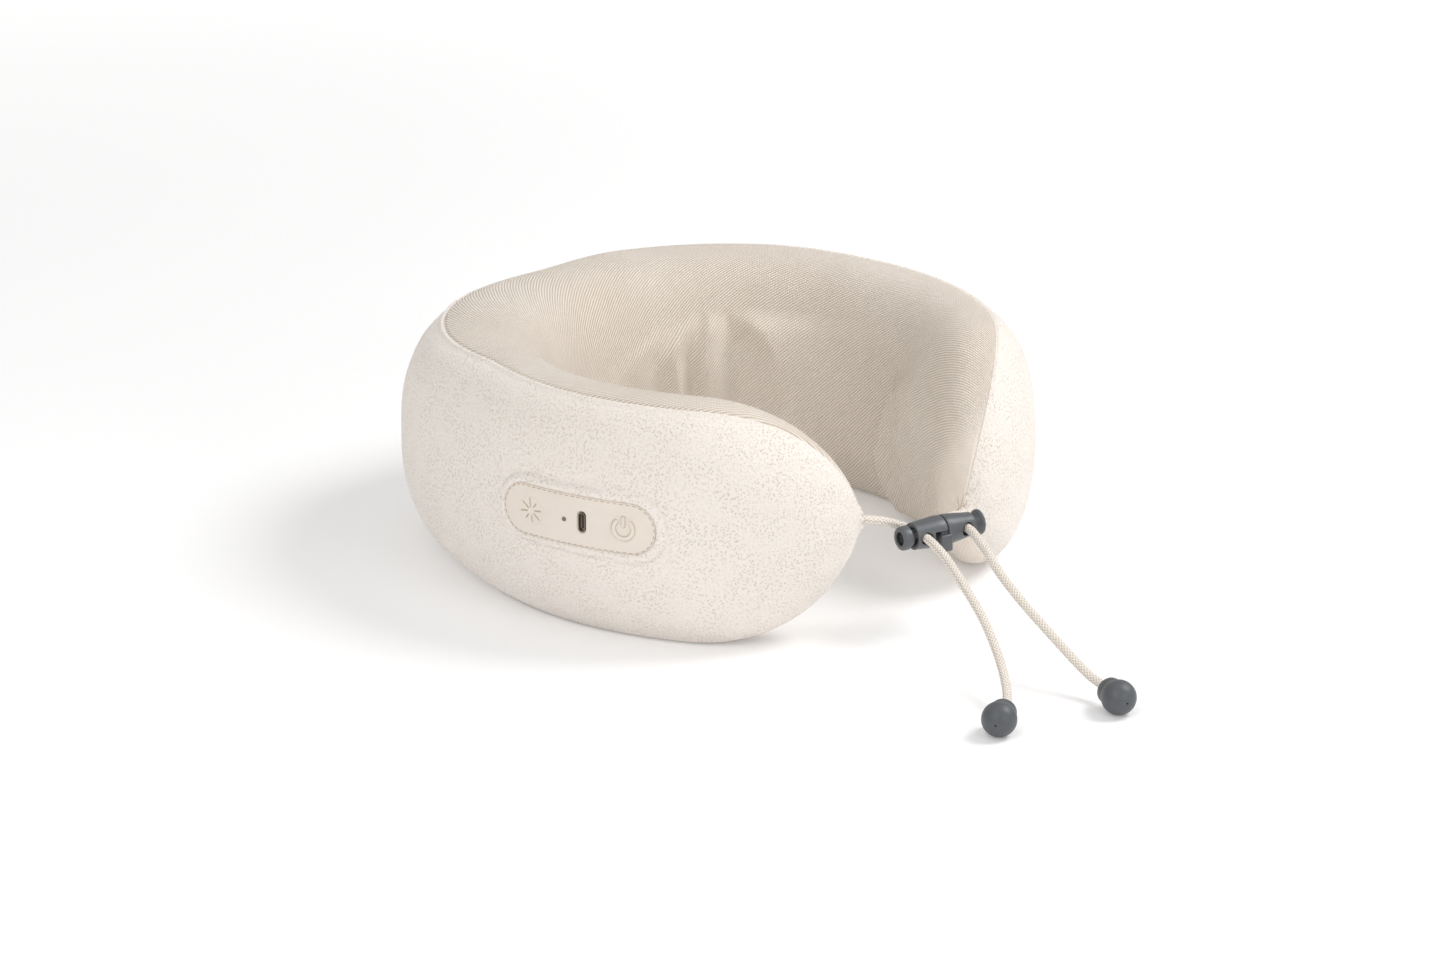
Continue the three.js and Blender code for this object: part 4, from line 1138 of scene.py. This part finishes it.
def panel_directions(u, v):
    """Out of the panel, and along it towards the opening."""
    along = panel_point(u + 0.3, v, 0) - panel_point(u - 0.3, v, 0)
    up = panel_point(u, v + 0.3, 0) - panel_point(u, v - 0.3, 0)
    out = np.cross(along, up)
    out /= np.linalg.norm(out)
    out = out * np.sign(np.dot(out, panel_point(u, v, 1.0) - panel_point(u, v, 0)))
    return out, along / np.linalg.norm(along)


def panel_solid(u, rings):
    """Solid at the panel's middle height: X towards the opening, Y up, Z out of the skin."""
    out, along = (Vector(way) for way in panel_directions(u, 0))
    matrix = axes_matrix(along, out.cross(along).normalized(), out, panel_point(u, 0, 0.0))
    return ring_solid("cutter", [[matrix @ Vector(p) for p in ring] for ring in rings])


def rod(u, radius, seg=72):
    turns = [2 * math.pi * i / seg for i in range(seg)]
    return panel_solid(
        u,
        [[(radius * math.cos(a), radius * math.sin(a), z) for a in turns]
         for z in (CUT_LOW, CUT_HIGH)],
    )


def usb_cutter():
    """Upright slot with round ends and a flared mouth."""
    radius, half = USB_WIDE / 2, USB_HIGH / 2
    outline = []
    for first, middle in ((0, half - radius), (180, radius - half)):
        for a in np.radians(np.linspace(first, first + 180, 13)):
            outline.append((radius * math.cos(a), middle + radius * math.sin(a)))
    levels = ((CUT_LOW, 0.0), (USB_FLARE_FROM, 0.0), (CUT_HIGH, USB_FLARE))
    rings = [
        [(x * (1 + flare / radius), y * (1 + flare / half), z) for x, y in outline]
        for z, flare in levels
    ]
    return panel_solid(USB_U, rings)


def pill_loop(inset, arc=PAD_ARC, straight=PAD_STRAIGHT):
    radius = PANEL_HIGH / 2 - inset
    half = PANEL_LENGTH / 2 - PANEL_HIGH / 2
    side = [(u, radius) for u in np.linspace(half, -half, straight, endpoint=False)]
    for a in np.radians(np.linspace(90, 270, arc, endpoint=False)):
        side.append((-half + radius * math.cos(a), radius * math.sin(a)))
    side = np.array(side)
    return np.vstack([side, -side])


def fill_loop(first, count):
    """Faces that close a loop: quads between its straight sides and one face in each end."""
    loop = [*range(first, first + count), first]
    half = count // 2
    top = loop[: PAD_STRAIGHT + 1]
    bottom = loop[half : half + PAD_STRAIGHT + 1][::-1]
    faces = [(top[i], top[i + 1], bottom[i + 1], bottom[i]) for i in range(PAD_STRAIGHT)]
    return faces + [tuple(loop[PAD_STRAIGHT : half + 1]), tuple(loop[half + PAD_STRAIGHT :])]


def pad_mesh(name):
    points = []
    for inset, height in PAD_LOOPS:
        loop = pill_loop(inset)
        points += list(panel_point(loop[:, 0], loop[:, 1], height))
    count = len(loop)
    faces = ring_faces(len(PAD_LOOPS), count)
    faces += fill_loop((len(PAD_LOOPS) - 1) * count, count) + fill_loop(0, count)
    return outward(new_object(name, points, faces))


def raised_line(name, path, width, height, base, under=None, seg=10):
    """A ridge with round ends along (u, v) points; it reaches down by under, or by height."""
    under = height if under is None else under
    centres = np.array([panel_point(u, v, base) for u, v in path])
    outs = np.array([panel_directions(u, v)[0] for u, v in path])
    tangents = np.gradient(centres, axis=0)
    tangents /= np.linalg.norm(tangents, axis=1, keepdims=True)
    sides = np.cross(outs, tangents)
    rings = []
    for centre, out, side in zip(centres, outs, sides):
        to_end = min(np.linalg.norm(centre - centres[0]), np.linalg.norm(centre - centres[-1]))
        size = math.sqrt(max(0.04, 1 - max(0, 1 - to_end / (width / 2)) ** 2))
        ring = []
        for j in range(seg):
            a = 2 * math.pi * j / seg
            up = max(height * size * math.sin(a), -under)
            ring.append(centre + side * (width / 2) * size * math.cos(a) + out * up)
        rings.append(ring)
    return ring_solid(name, rings)


def crowded(count):
    """0 to 1 with points crowded at both ends, for round tips."""
    return (1 - np.cos(np.linspace(0, np.pi, count))) / 2


def straight_line(start, end, count=14):
    return [
        (start[0] + (end[0] - start[0]) * t, start[1] + (end[1] - start[1]) * t)
        for t in crowded(count)
    ]


def power_marks():
    """The raised power symbol, a shade lighter as a painted highlight, and the thin dark rim round
    it, a painted shadow line.
    """
    gap = 32  # degrees on each side of the bar
    ring = [
        (POWER_U + POWER_RING_R * math.cos(a), POWER_RING_R * math.sin(a))
        for a in np.radians(90 + gap + (360 - 2 * gap) * crowded(60))
    ]
    bar = straight_line((POWER_U, 0.6), (POWER_U, 5.9))
    ridge = dict(height=1.05, base=PAD_TOP, under=0.3)
    symbol = join("power_symbol", [
        raised_line("power_ring", ring, width=1.9, **ridge),
        raised_line("power_bar", bar, width=1.7, **ridge),
    ])
    rim_bar = straight_line((POWER_U, 0.4), (POWER_U, 6.1))
    # a dark rim under the ring and bar: a painted shadow line round the symbol
    outline = join("power_shadow_rim", [
        raised_line("power_rim_shade", ring, width=2.5, height=0.16, base=PAD_TOP),
        raised_line("power_rim_shade", rim_bar, width=2.3, height=0.16, base=PAD_TOP),
    ])
    return symbol, outline


def heat_marks(key):
    """Cut the warmth symbol's rays into the key and lay a dark floor in each, a painted shade in
    the grooves.
    """
    shade_floors = []
    for degrees, near, far, width in RAYS:
        a = math.radians(degrees + RAY_TURN)
        far = min(far * RAY_STRETCH, RAY_MAX_R)
        start, end = [(HEAT_U + r * math.cos(a), r * math.sin(a)) for r in (near, far)]
        path = straight_line(start, end, 10)
        groove = raised_line("ray", path, width, height=0.6, base=PAD_TOP + 0.12, seg=8)
        combine(key, groove)
        # the dark floor is painted shade in the groove
        shade_floors.append(
            raised_line("ray", path, width * 0.86, height=0.2, base=PAD_TOP - 0.42, seg=8)
        )
    return join("heat_symbol", shade_floors)


def panel_stitches():
    """Stitches round the pad's edge, each an arched thread; their brown is partly the thread and
    partly a painted shadow of the gap at the pad's edge.
    """
    last = 6  # index of a stitch's last ring, and the sides of its thread
    loop = pill_loop(STITCH_INSET, 60, 80)
    loop = np.vstack([loop, loop[:1]])
    length = np.concatenate([[0], np.cumsum(np.linalg.norm(np.diff(loop, axis=0), axis=1))])
    count = round(length[-1] / STITCH_PITCH)
    pitch = length[-1] / count
    stitches = []
    for k in range(count):
        spots = np.linspace(k * pitch, k * pitch + pitch * STITCH_SHARE, last + 1)
        path = np.stack([np.interp(spots, length, loop[:, axis]) for axis in (0, 1)], 1)
        points = []
        for i, (u, v) in enumerate(path):
            out, _ = panel_directions(u, v)
            ahead = panel_point(*path[min(i + 1, last)], 1.0)
            tangent = ahead - panel_point(*path[max(i - 1, 0)], 1.0)
            side = np.cross(out, tangent / np.linalg.norm(tangent))
            arch = math.sin(math.pi * i / last)
            centre = panel_point(u, v, 1.06 + 0.22 * arch - 0.1)
            radius = STITCH_R * (0.55 + 0.45 * arch)
            for j in range(6):
                a = 2 * math.pi * j / 6
                across = side * radius * 1.15 * math.cos(a)
                points.append(centre + across + out * radius * math.sin(a))
        faces = ring_faces(last + 1, 6) + [tuple(reversed(range(6))), tuple(range(36, 42))]
        stitches.append(new_object("stitch", points, faces))
    return outward(join("panel_stitching", stitches))


def build_panel():
    pad = pad_mesh("panel_pad_skin")
    heat_key = pad_mesh("heat_key_cap")
    power_key = pad_mesh("power_key_cap")
    for key, u, radius in ((heat_key, HEAT_U, HEAT_R), (power_key, POWER_U, POWER_R)):
        combine(key, rod(u, radius), "INTERSECT")
        combine(pad, rod(u, radius + KEY_GAP))
    combine(pad, usb_cutter())
    combine(pad, rod(LED_U, LED_R, seg=24))
    power_symbol, power_shadow_rim = power_marks()
    heat_symbol = heat_marks(heat_key)
    # piece, shading angle, look, body, replaced node
    for ob, degrees, look, body, replaces in (
        (power_shadow_rim, 40, "icon_sunk", "power_key", []),
        (power_symbol, 40, "icon", "power_key", []),
        (heat_symbol, 40, "icon_sunk", "heat_key", []),
        (pad, 32, "soft_pad", "pillow", ["panel_pad"]),
        (heat_key, 32, "soft_pad", "heat_key", ["heat_key"]),
        (power_key, 32, "soft_pad", "power_key", ["power_key"]),
    ):
        shade_by_angle(ob, degrees)
        register(ob, look, body, replaces)
    register(panel_stitches(), "stitch", "pillow")


build_panel()

# ------------------------------------------------------------------ cord clip (mm)
CLIP_YAW = math.radians(-12)
CLIP = Matrix.Translation((0, -141.2 * MM, 45.6 * MM)) @ Matrix.Rotation(CLIP_YAW, 4, "Z")
HOLE_X = 11  # cord holes, either side of the clip's middle
# turned outlines: (radius, distance from the clip's middle, fillet)
LEFT_BARREL = [
    (0, 0.25, 0), (6.8, 0.25, 0.45), (6.95, 3, 0.8), (6.55, 8.5, 1.5), (6.15, 13, 1),
    (6.0, 15.2, 0.35), (5.0, 15.2, 0.2), (3.8, 14.6, 0.2), (3.8, 5.6, 0), (0, 5.6, 0),
]
RIGHT_BARREL = [
    (0, 0.25, 0), (6.8, 0.25, 0.45), (6.75, 3, 0.8), (6.2, 8, 1.5), (5.55, 12, 1),
    (5.25, 15.2, 0.35), (4.6, 15.2, 0.2), (3.8, 14.6, 0.2), (3.8, 5.6, 0), (0, 5.6, 0),
]
LEFT_BUTTON = [
    (0, 8.4, 0), (3.4, 8.4, 0.4), (3.4, 16.9, 0.1), (4.4, 16.9, 0.2), (5.25, 17.3, 0.5),
    (5.35, 19, 0.5), (5.2, 21.3, 0.9), (3.1, 21.5, 0.35), (3.0, 19.0, 0.2), (0, 19.0, 0),
]
RIGHT_BUTTON = [
    (0, 8.4, 0), (3.4, 8.4, 0.4), (3.4, 16.6, 0.6), (4.1, 17.6, 0.9), (5.6, 18.6, 0.3),
    (5.75, 19.3, 0.3), (5.6, 19.9, 0.3), (4.3, 19.6, 0.5), (3.4, 19.4, 0.3), (3.2, 21.2, 0.5),
    (0, 21.5, 0),
]
LEFT_BORE = [
    (0, 18.6, 0), (2.98, 18.6, 0), (2.98, 20.9, 0.1), (2.7, 20.95, 0.1), (2.7, 19.1, 0),
    (0, 19.1, 0),
]
# blocks: x, y and z ranges, bevel
NOTCHES = [
    ((-6.9, 3), (-12, 3.0), (-12, 2.2), 0.45),
    ((-8.6, -5.5), (-12, -2.5), (-12, -3.4), 0.45),
]
HOOK = [
    ((-3.2, 1.4), (-5.4, 2.6), (-3.2, 1.4), 0.3),
    ((-4.3, 1.8), (-7.3, -1.4), (-7.7, 0.2), 0.8),
]
BUTTON_STEP = ((-18.4, -14.0), (-9, -1.6), (-9, -2.2), 0.3)
SLIT_X, SLIT_HALF = 12, 3.3
SPRING_START, SPRING_LENGTH, SPRING_R, SPRING_TURNS, WIRE_R = 5.75, 2.45, 2.6, 3.2, 0.2


def clip_point(x, y, z):
    """A point of the clip's own frame, in mm round the ring's centre."""
    return [c / MM for c in CLIP @ Vector((x * MM, y * MM, z * MM))]


def turned(name, corners, side, seg=64):
    return lathe(name, filleted([(radius, x * side, f) for radius, x, f in corners]), seg)


def cord_hole(x, radius):
    """A cord's way through: a cylinder along Y with flared mouths."""
    seg = 36
    levels = [(-12, 4.4), (-6.6, 3.2), (-5.4, radius), (5.4, radius), (6.6, 3.2), (12, 4.4)]
    turns = [2 * math.pi * i / seg for i in range(seg)]
    return ring_solid(
        "cutter", [[(x + r * math.cos(a), y, r * math.sin(a)) for a in turns] for y, r in levels]
    )


def finish_clip_piece(ob, body, node):
    """Soften the sharp edges and set the piece in place."""
    shade_by_angle(ob, 30)
    bevel = ob.modifiers.new("edge", "BEVEL")
    bevel.width, bevel.segments = 0.00022, 2
    bevel.limit_method, bevel.angle_limit = "ANGLE", math.radians(38)
    bevel.use_clamp_overlap = True
    apply_modifiers(ob)
    shade_by_angle(ob, 45)
    ob.data.transform(CLIP)
    register(ob, "grey_plastic", body, [node])


def build_clip():
    left_barrel = turned("clip_left_half", LEFT_BARREL, -1)
    right_barrel = turned("clip_right_half", RIGHT_BARREL, 1)
    combine(left_barrel, cord_hole(-HOLE_X, radius=2.7))
    combine(right_barrel, cord_hole(HOLE_X - 0.5, radius=3.15))
    # notch in the left half, open to the front and below, for the right half's hook
    for notch in NOTCHES:
        combine(left_barrel, block("notch", *notch))
    for part in HOOK:
        combine(right_barrel, block("hook", *part), "UNION")
    left_button = turned("left_lock_button", LEFT_BUTTON, -1)
    right_button = turned("right_lock_button", RIGHT_BUTTON, 1)
    # slit across each button's stem, where the cord lock works
    for button, middle in ((left_button, -SLIT_X), (right_button, SLIT_X)):
        ends = (middle - SLIT_HALF, middle + SLIT_HALF)
        combine(button, block("slit", ends, (-8, 8), (-2.6, 2.6)))
    combine(left_button, block("step", *BUTTON_STEP))
    # black cup lining the button's blind hole: a painted shade in the hole
    bore = turned("left_lock_bore_shade", LEFT_BORE, -1, 48)
    bore.data.transform(CLIP)
    register(bore, "black_plastic", "left_plunger")
    finish_clip_piece(left_barrel, "pillow", "left_barrel")
    finish_clip_piece(right_barrel, "clip_half", "right_barrel")
    finish_clip_piece(left_button, "left_plunger", "left_plunger")
    finish_clip_piece(right_button, "right_plunger", "right_plunger")


def lock_spring(word, side, body):
    t = np.linspace(0, 1, 120)
    a = t * 2 * np.pi * SPRING_TURNS
    along = side * (SPRING_START + SPRING_LENGTH * t)
    path = np.stack([along, SPRING_R * np.cos(a), SPRING_R * np.sin(a)], 1)
    spring = tube("lock_spring_" + word, path, np.full((len(path), 8), WIRE_R))
    spring.data.transform(CLIP)
    register(spring, "steel", body, [word + "_spring"])
    return spring


def squash_spring(spring):
    """Give the spring a mesh of its own."""
    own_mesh(spring)


build_clip()
left_spring = lock_spring("left", -1, "pillow")
right_spring = lock_spring("right", 1, "clip_half")

# ------------------------------------------------------------------ cords and beads (mm)
CORD_STEP, CORD_SEG = 0.34, 40
CORD_R, STRAND_HIGH = 1.83, 0.2
STRANDS, STRAND_PITCH = 8, 5.2
STRAND_UNDER = 0.72  # height of a strand where another crosses over it
BEAD_R = 7.6
BEAD_Z = BEAD_R + 0.05
# centre, and direction in plan of the mouth where the cord enters
BEADS = {
    "left": ((-67.7, -242.9, BEAD_Z), (0.85, 0.527)),
    "right": ((-14.2, -261.0, BEAD_Z), (0.325, 0.946)),
}
# (radius, x) of a bead's small dimple, and of its collar and bore
BEAD_DIMPLE = [(0.0, -BEAD_R + 0.9), (0.32, -BEAD_R + 0.8), (0.42, -BEAD_R + 0.12)]
BEAD_COLLAR = [
    (5.86, 5.7), (5.95, 6.6), (5.95, 7.6), (5.75, 8.6), (5.2, 9.5), (4.4, 10.1), (3.5, 10.42),
    (2.8, 10.45), (2.45, 10.2), (2.35, 9.6), (2.35, 2.8), (0.0, 2.8),
]


def bead_points(word):
    """The cord's last points, along the bead's bore."""
    centre, way = BEADS[word]
    return [
        [centre[0] + way[0] * x, centre[1] + way[1] * x, centre[2]] for x in (15, 10.6, 3.4)
    ]


def spine_point(station):
    x, y, *_, centre_z = section(station)
    return [float(x), float(y), float(centre_z)]


mouth = clip_point(HOLE_X, 8.4, 0)
# from inside each arm through the clip and down to the bead on the floor
LEFT_PATH = [
    spine_point(-0.945), arm_end(-1)[0], [-24.5, -127.4, 52.5], [-14.8, -128.6, 48.6],
    clip_point(-HOLE_X, 6.4, 0), clip_point(-HOLE_X, 0, 0), clip_point(-HOLE_X, -6.4, 0),
    [-14.9, -157.5, 42.4], [-21.5, -177, 35], [-27.8, -195.2, 26], [-35.8, -211.7, 16.6],
    [-44.6, -224.6, 10.2], *bead_points("left"),
]
RIGHT_PATH = [
    spine_point(0.945), arm_end(1)[0], [27.3, -127.8, 42.2], [20.6, -130.4, 44.2],
    [mouth[0] + 2.3, mouth[1] + 3.4, 45.3], mouth, clip_point(HOLE_X, 5.4, 0),
    clip_point(HOLE_X, 0, 0), clip_point(HOLE_X, -6.4, 0),
    [4.6, -163, 42.3], [-3.4, -181.8, 36.4], [-7.6, -200, 29.2], [-9.3, -217, 21.4],
    [-9.4, -231.5, 13.6], [-9.4, -240.5, 9.4], *bead_points("right"),
]


def cord(name, points):
    """A round braid whose strands pass over and under each other."""
    path, length = smooth_path(points, CORD_STEP)
    turn = turn_angles(CORD_SEG)[None, :] / (2 * np.pi)
    one = STRANDS * turn + length[:, None] / STRAND_PITCH
    other = STRANDS * turn - length[:, None] / STRAND_PITCH
    one_high = np.abs(np.cos(np.pi * one)) ** 0.8
    other_high = np.abs(np.cos(np.pi * other)) ** 0.8
    height = np.where(
        (np.floor(one) + np.floor(other)) % 2 > 0,
        np.maximum(one_high, other_high * STRAND_UNDER),
        np.maximum(other_high, one_high * STRAND_UNDER),
    )
    ob = tube(name, path, CORD_R + STRAND_HIGH * height)
    shape = height.shape
    along = np.broadcast_to(length[:, None], shape)
    around = np.broadcast_to(np.arange(CORD_SEG) / CORD_SEG, shape)
    weave = np.stack([along, around, np.zeros(shape)], -1).reshape(-1, 3)
    store_weave(ob, np.vstack([weave, [length[0], 0, 0], [length[-1], 0, 0]]))
    return ob


def bead(word, body):
    centre, way = BEADS[word]
    ball = [
        (BEAD_R * math.sin(a), -BEAD_R * math.cos(a)) for a in np.linspace(0.06, math.pi * 0.71, 26)
    ]
    ob = lathe(word + "_bead_form", BEAD_DIMPLE + ball + BEAD_COLLAR, 72)
    x = Vector((*way, 0)).normalized()
    z = Vector((0, 0, 1))
    ob.data.transform(axes_matrix(x, z.cross(x), z, [c * MM for c in centre]))
    shade_by_angle(ob, 50)
    register(ob, "grey_bead", body, [word + "_bead"])


def blend_right_cord(ob):
    """Bake the right cord's placing into its mesh; the span between the arm's tip and the clip's
    right half is worked out but not used.
    """
    away = Vector((math.sin(CLIP_YAW), -math.cos(CLIP_YAW), 0))
    start = Vector([c * MM for c in arm_end(1)[0]]) + away * 0.0005
    clip_end = Vector([c * MM for c in clip_point(HOLE_X, 7.2, 0)])
    end = start + away * max(0.004, (clip_end - start).dot(away))
    start, end = tuple(start + TO_ORIGIN), tuple(end + TO_ORIGIN)
    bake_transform(ob)


register(cord("left_cord_braid", LEFT_PATH), "cord", "pillow", ["left_cord"])
right_cord = cord("right_cord_braid", RIGHT_PATH)
register(right_cord, "cord", replaces=["right_cord_inner", "right_cord_tail"])
bead("left", "pillow")
bead("right", "clip_half")

# ------------------------------------------------------------------ into the frame
cad_objects = set(nodes.values())
for ob in scene.objects:
    if ob.type == "MESH" and ob not in cad_objects:
        ob.data.transform(Matrix.Translation(TO_ORIGIN))
squash_spring(left_spring)
squash_spring(right_spring)
blend_right_cord(right_cord)


# ------------------------------------------------------------------ floor, light, camera (m)
def build_floor():
    """White paper that glows more with distance."""
    floor = block("floor", (-3000, 3000), (-3000, 3000), (-6, 0))
    m = Look("floor_paper")
    grain = m.ramp(m.noise(m.object_place(), scale=300, detail=2), start=0.3, end=0.7)
    colour = m.mix(grain, (0.86, 0.86, 0.865, 1), (0.88, 0.88, 0.885, 1))
    m.finish(colour, rough=0.9, spec=0.1)
    far = m.node("ShaderNodeVectorMath", m.object_place(), operation="LENGTH").outputs["Value"]
    glow = m.ramp(far, start=0.35, end=2.2, low=0.14, high=0.85)
    m.fill(m.shader, {"Emission Color": (1, 1, 1, 1), "Emission Strength": glow})
    floor.data.materials.append(m.material)


def build_world():
    """Soft warm light, seen as plain white by the camera."""
    world = bpy.data.worlds.new("studio")
    scene.world = world
    world.use_nodes = True
    tree = world.node_tree
    tree.nodes.clear()
    output = tree.nodes.new("ShaderNodeOutputWorld")
    light = tree.nodes.new("ShaderNodeBackground")
    backdrop = tree.nodes.new("ShaderNodeBackground")
    rays = tree.nodes.new("ShaderNodeLightPath")
    mix = tree.nodes.new("ShaderNodeMixShader")
    for node, colour, strength in (
        (light, (1.0, 0.99, 0.975, 1), 0.47),
        (backdrop, (1, 1, 1, 1), 1.0),
    ):
        node.inputs[0].default_value = colour
        node.inputs[1].default_value = strength
    tree.links.new(rays.outputs["Is Camera Ray"], mix.inputs[0])
    tree.links.new(light.outputs[0], mix.inputs[1])
    tree.links.new(backdrop.outputs[0], mix.inputs[2])
    tree.links.new(mix.outputs[0], output.inputs[0])


def area_light(name, place, size, power, target=(0, -0.1, 0.05)):
    light = bpy.data.lights.new(name, "AREA")
    light.shape = "DISK"
    light.size = size
    light.energy = power
    ob = bpy.data.objects.new(name, light)
    ob.location = place
    ob.rotation_mode = "QUATERNION"
    ob.rotation_quaternion = (Vector(target) - Vector(place)).to_track_quat("-Z", "Y")
    scene.collection.objects.link(ob)


AZIMUTH, ELEVATION = math.radians(-43.0), math.radians(20.0)  # from -Y towards -X, and up
DISTANCE = 2.3
LENS, SENSOR = 126.06228, 36
AIM_RIGHT, AIM_UP = 0.00113636, -0.01909091  # aim beside the subject, across the view


def build_camera():
    back = Vector((
        math.sin(AZIMUTH) * math.cos(ELEVATION),
        -math.cos(AZIMUTH) * math.cos(ELEVATION),
        math.sin(ELEVATION),
    ))
    right = Vector((math.cos(AZIMUTH), math.sin(AZIMUTH), 0))
    subject = Vector((0, 0, 0.05)) + TO_ORIGIN
    data = bpy.data.cameras.new("camera")
    camera = bpy.data.objects.new("camera", data)
    scene.collection.objects.link(camera)
    scene.camera = camera
    data.sensor_width = SENSOR
    data.lens = LENS
    data.clip_start, data.clip_end = 0.05, 30
    camera.location = subject + back * DISTANCE
    aim = subject + right * AIM_RIGHT + back.cross(right) * AIM_UP
    camera.rotation_mode = "QUATERNION"
    z = (camera.location - aim).normalized()
    x = Vector((0, 0, 1)).cross(z).normalized()
    camera.rotation_quaternion = Matrix((x, z.cross(x), z)).transposed().to_quaternion()


build_floor()
build_world()
area_light("key", place=(1.06, -0.86, 1.56), size=0.95, power=21.5)
area_light("top", place=(-0.3, 0.1, 2.2), size=1.6, power=3.5)
area_light("front", place=(-1.6, -0.65, 1.3), size=1.4, power=12)
area_light("window", place=(-0.15, -2.0, 0.72), size=0.8, power=5.5, target=(-0.02, 0.0, 0.06))
build_camera()
scene.view_settings.view_transform = "Standard"
scene.view_settings.look = "None"
scene.view_settings.exposure = 0.0
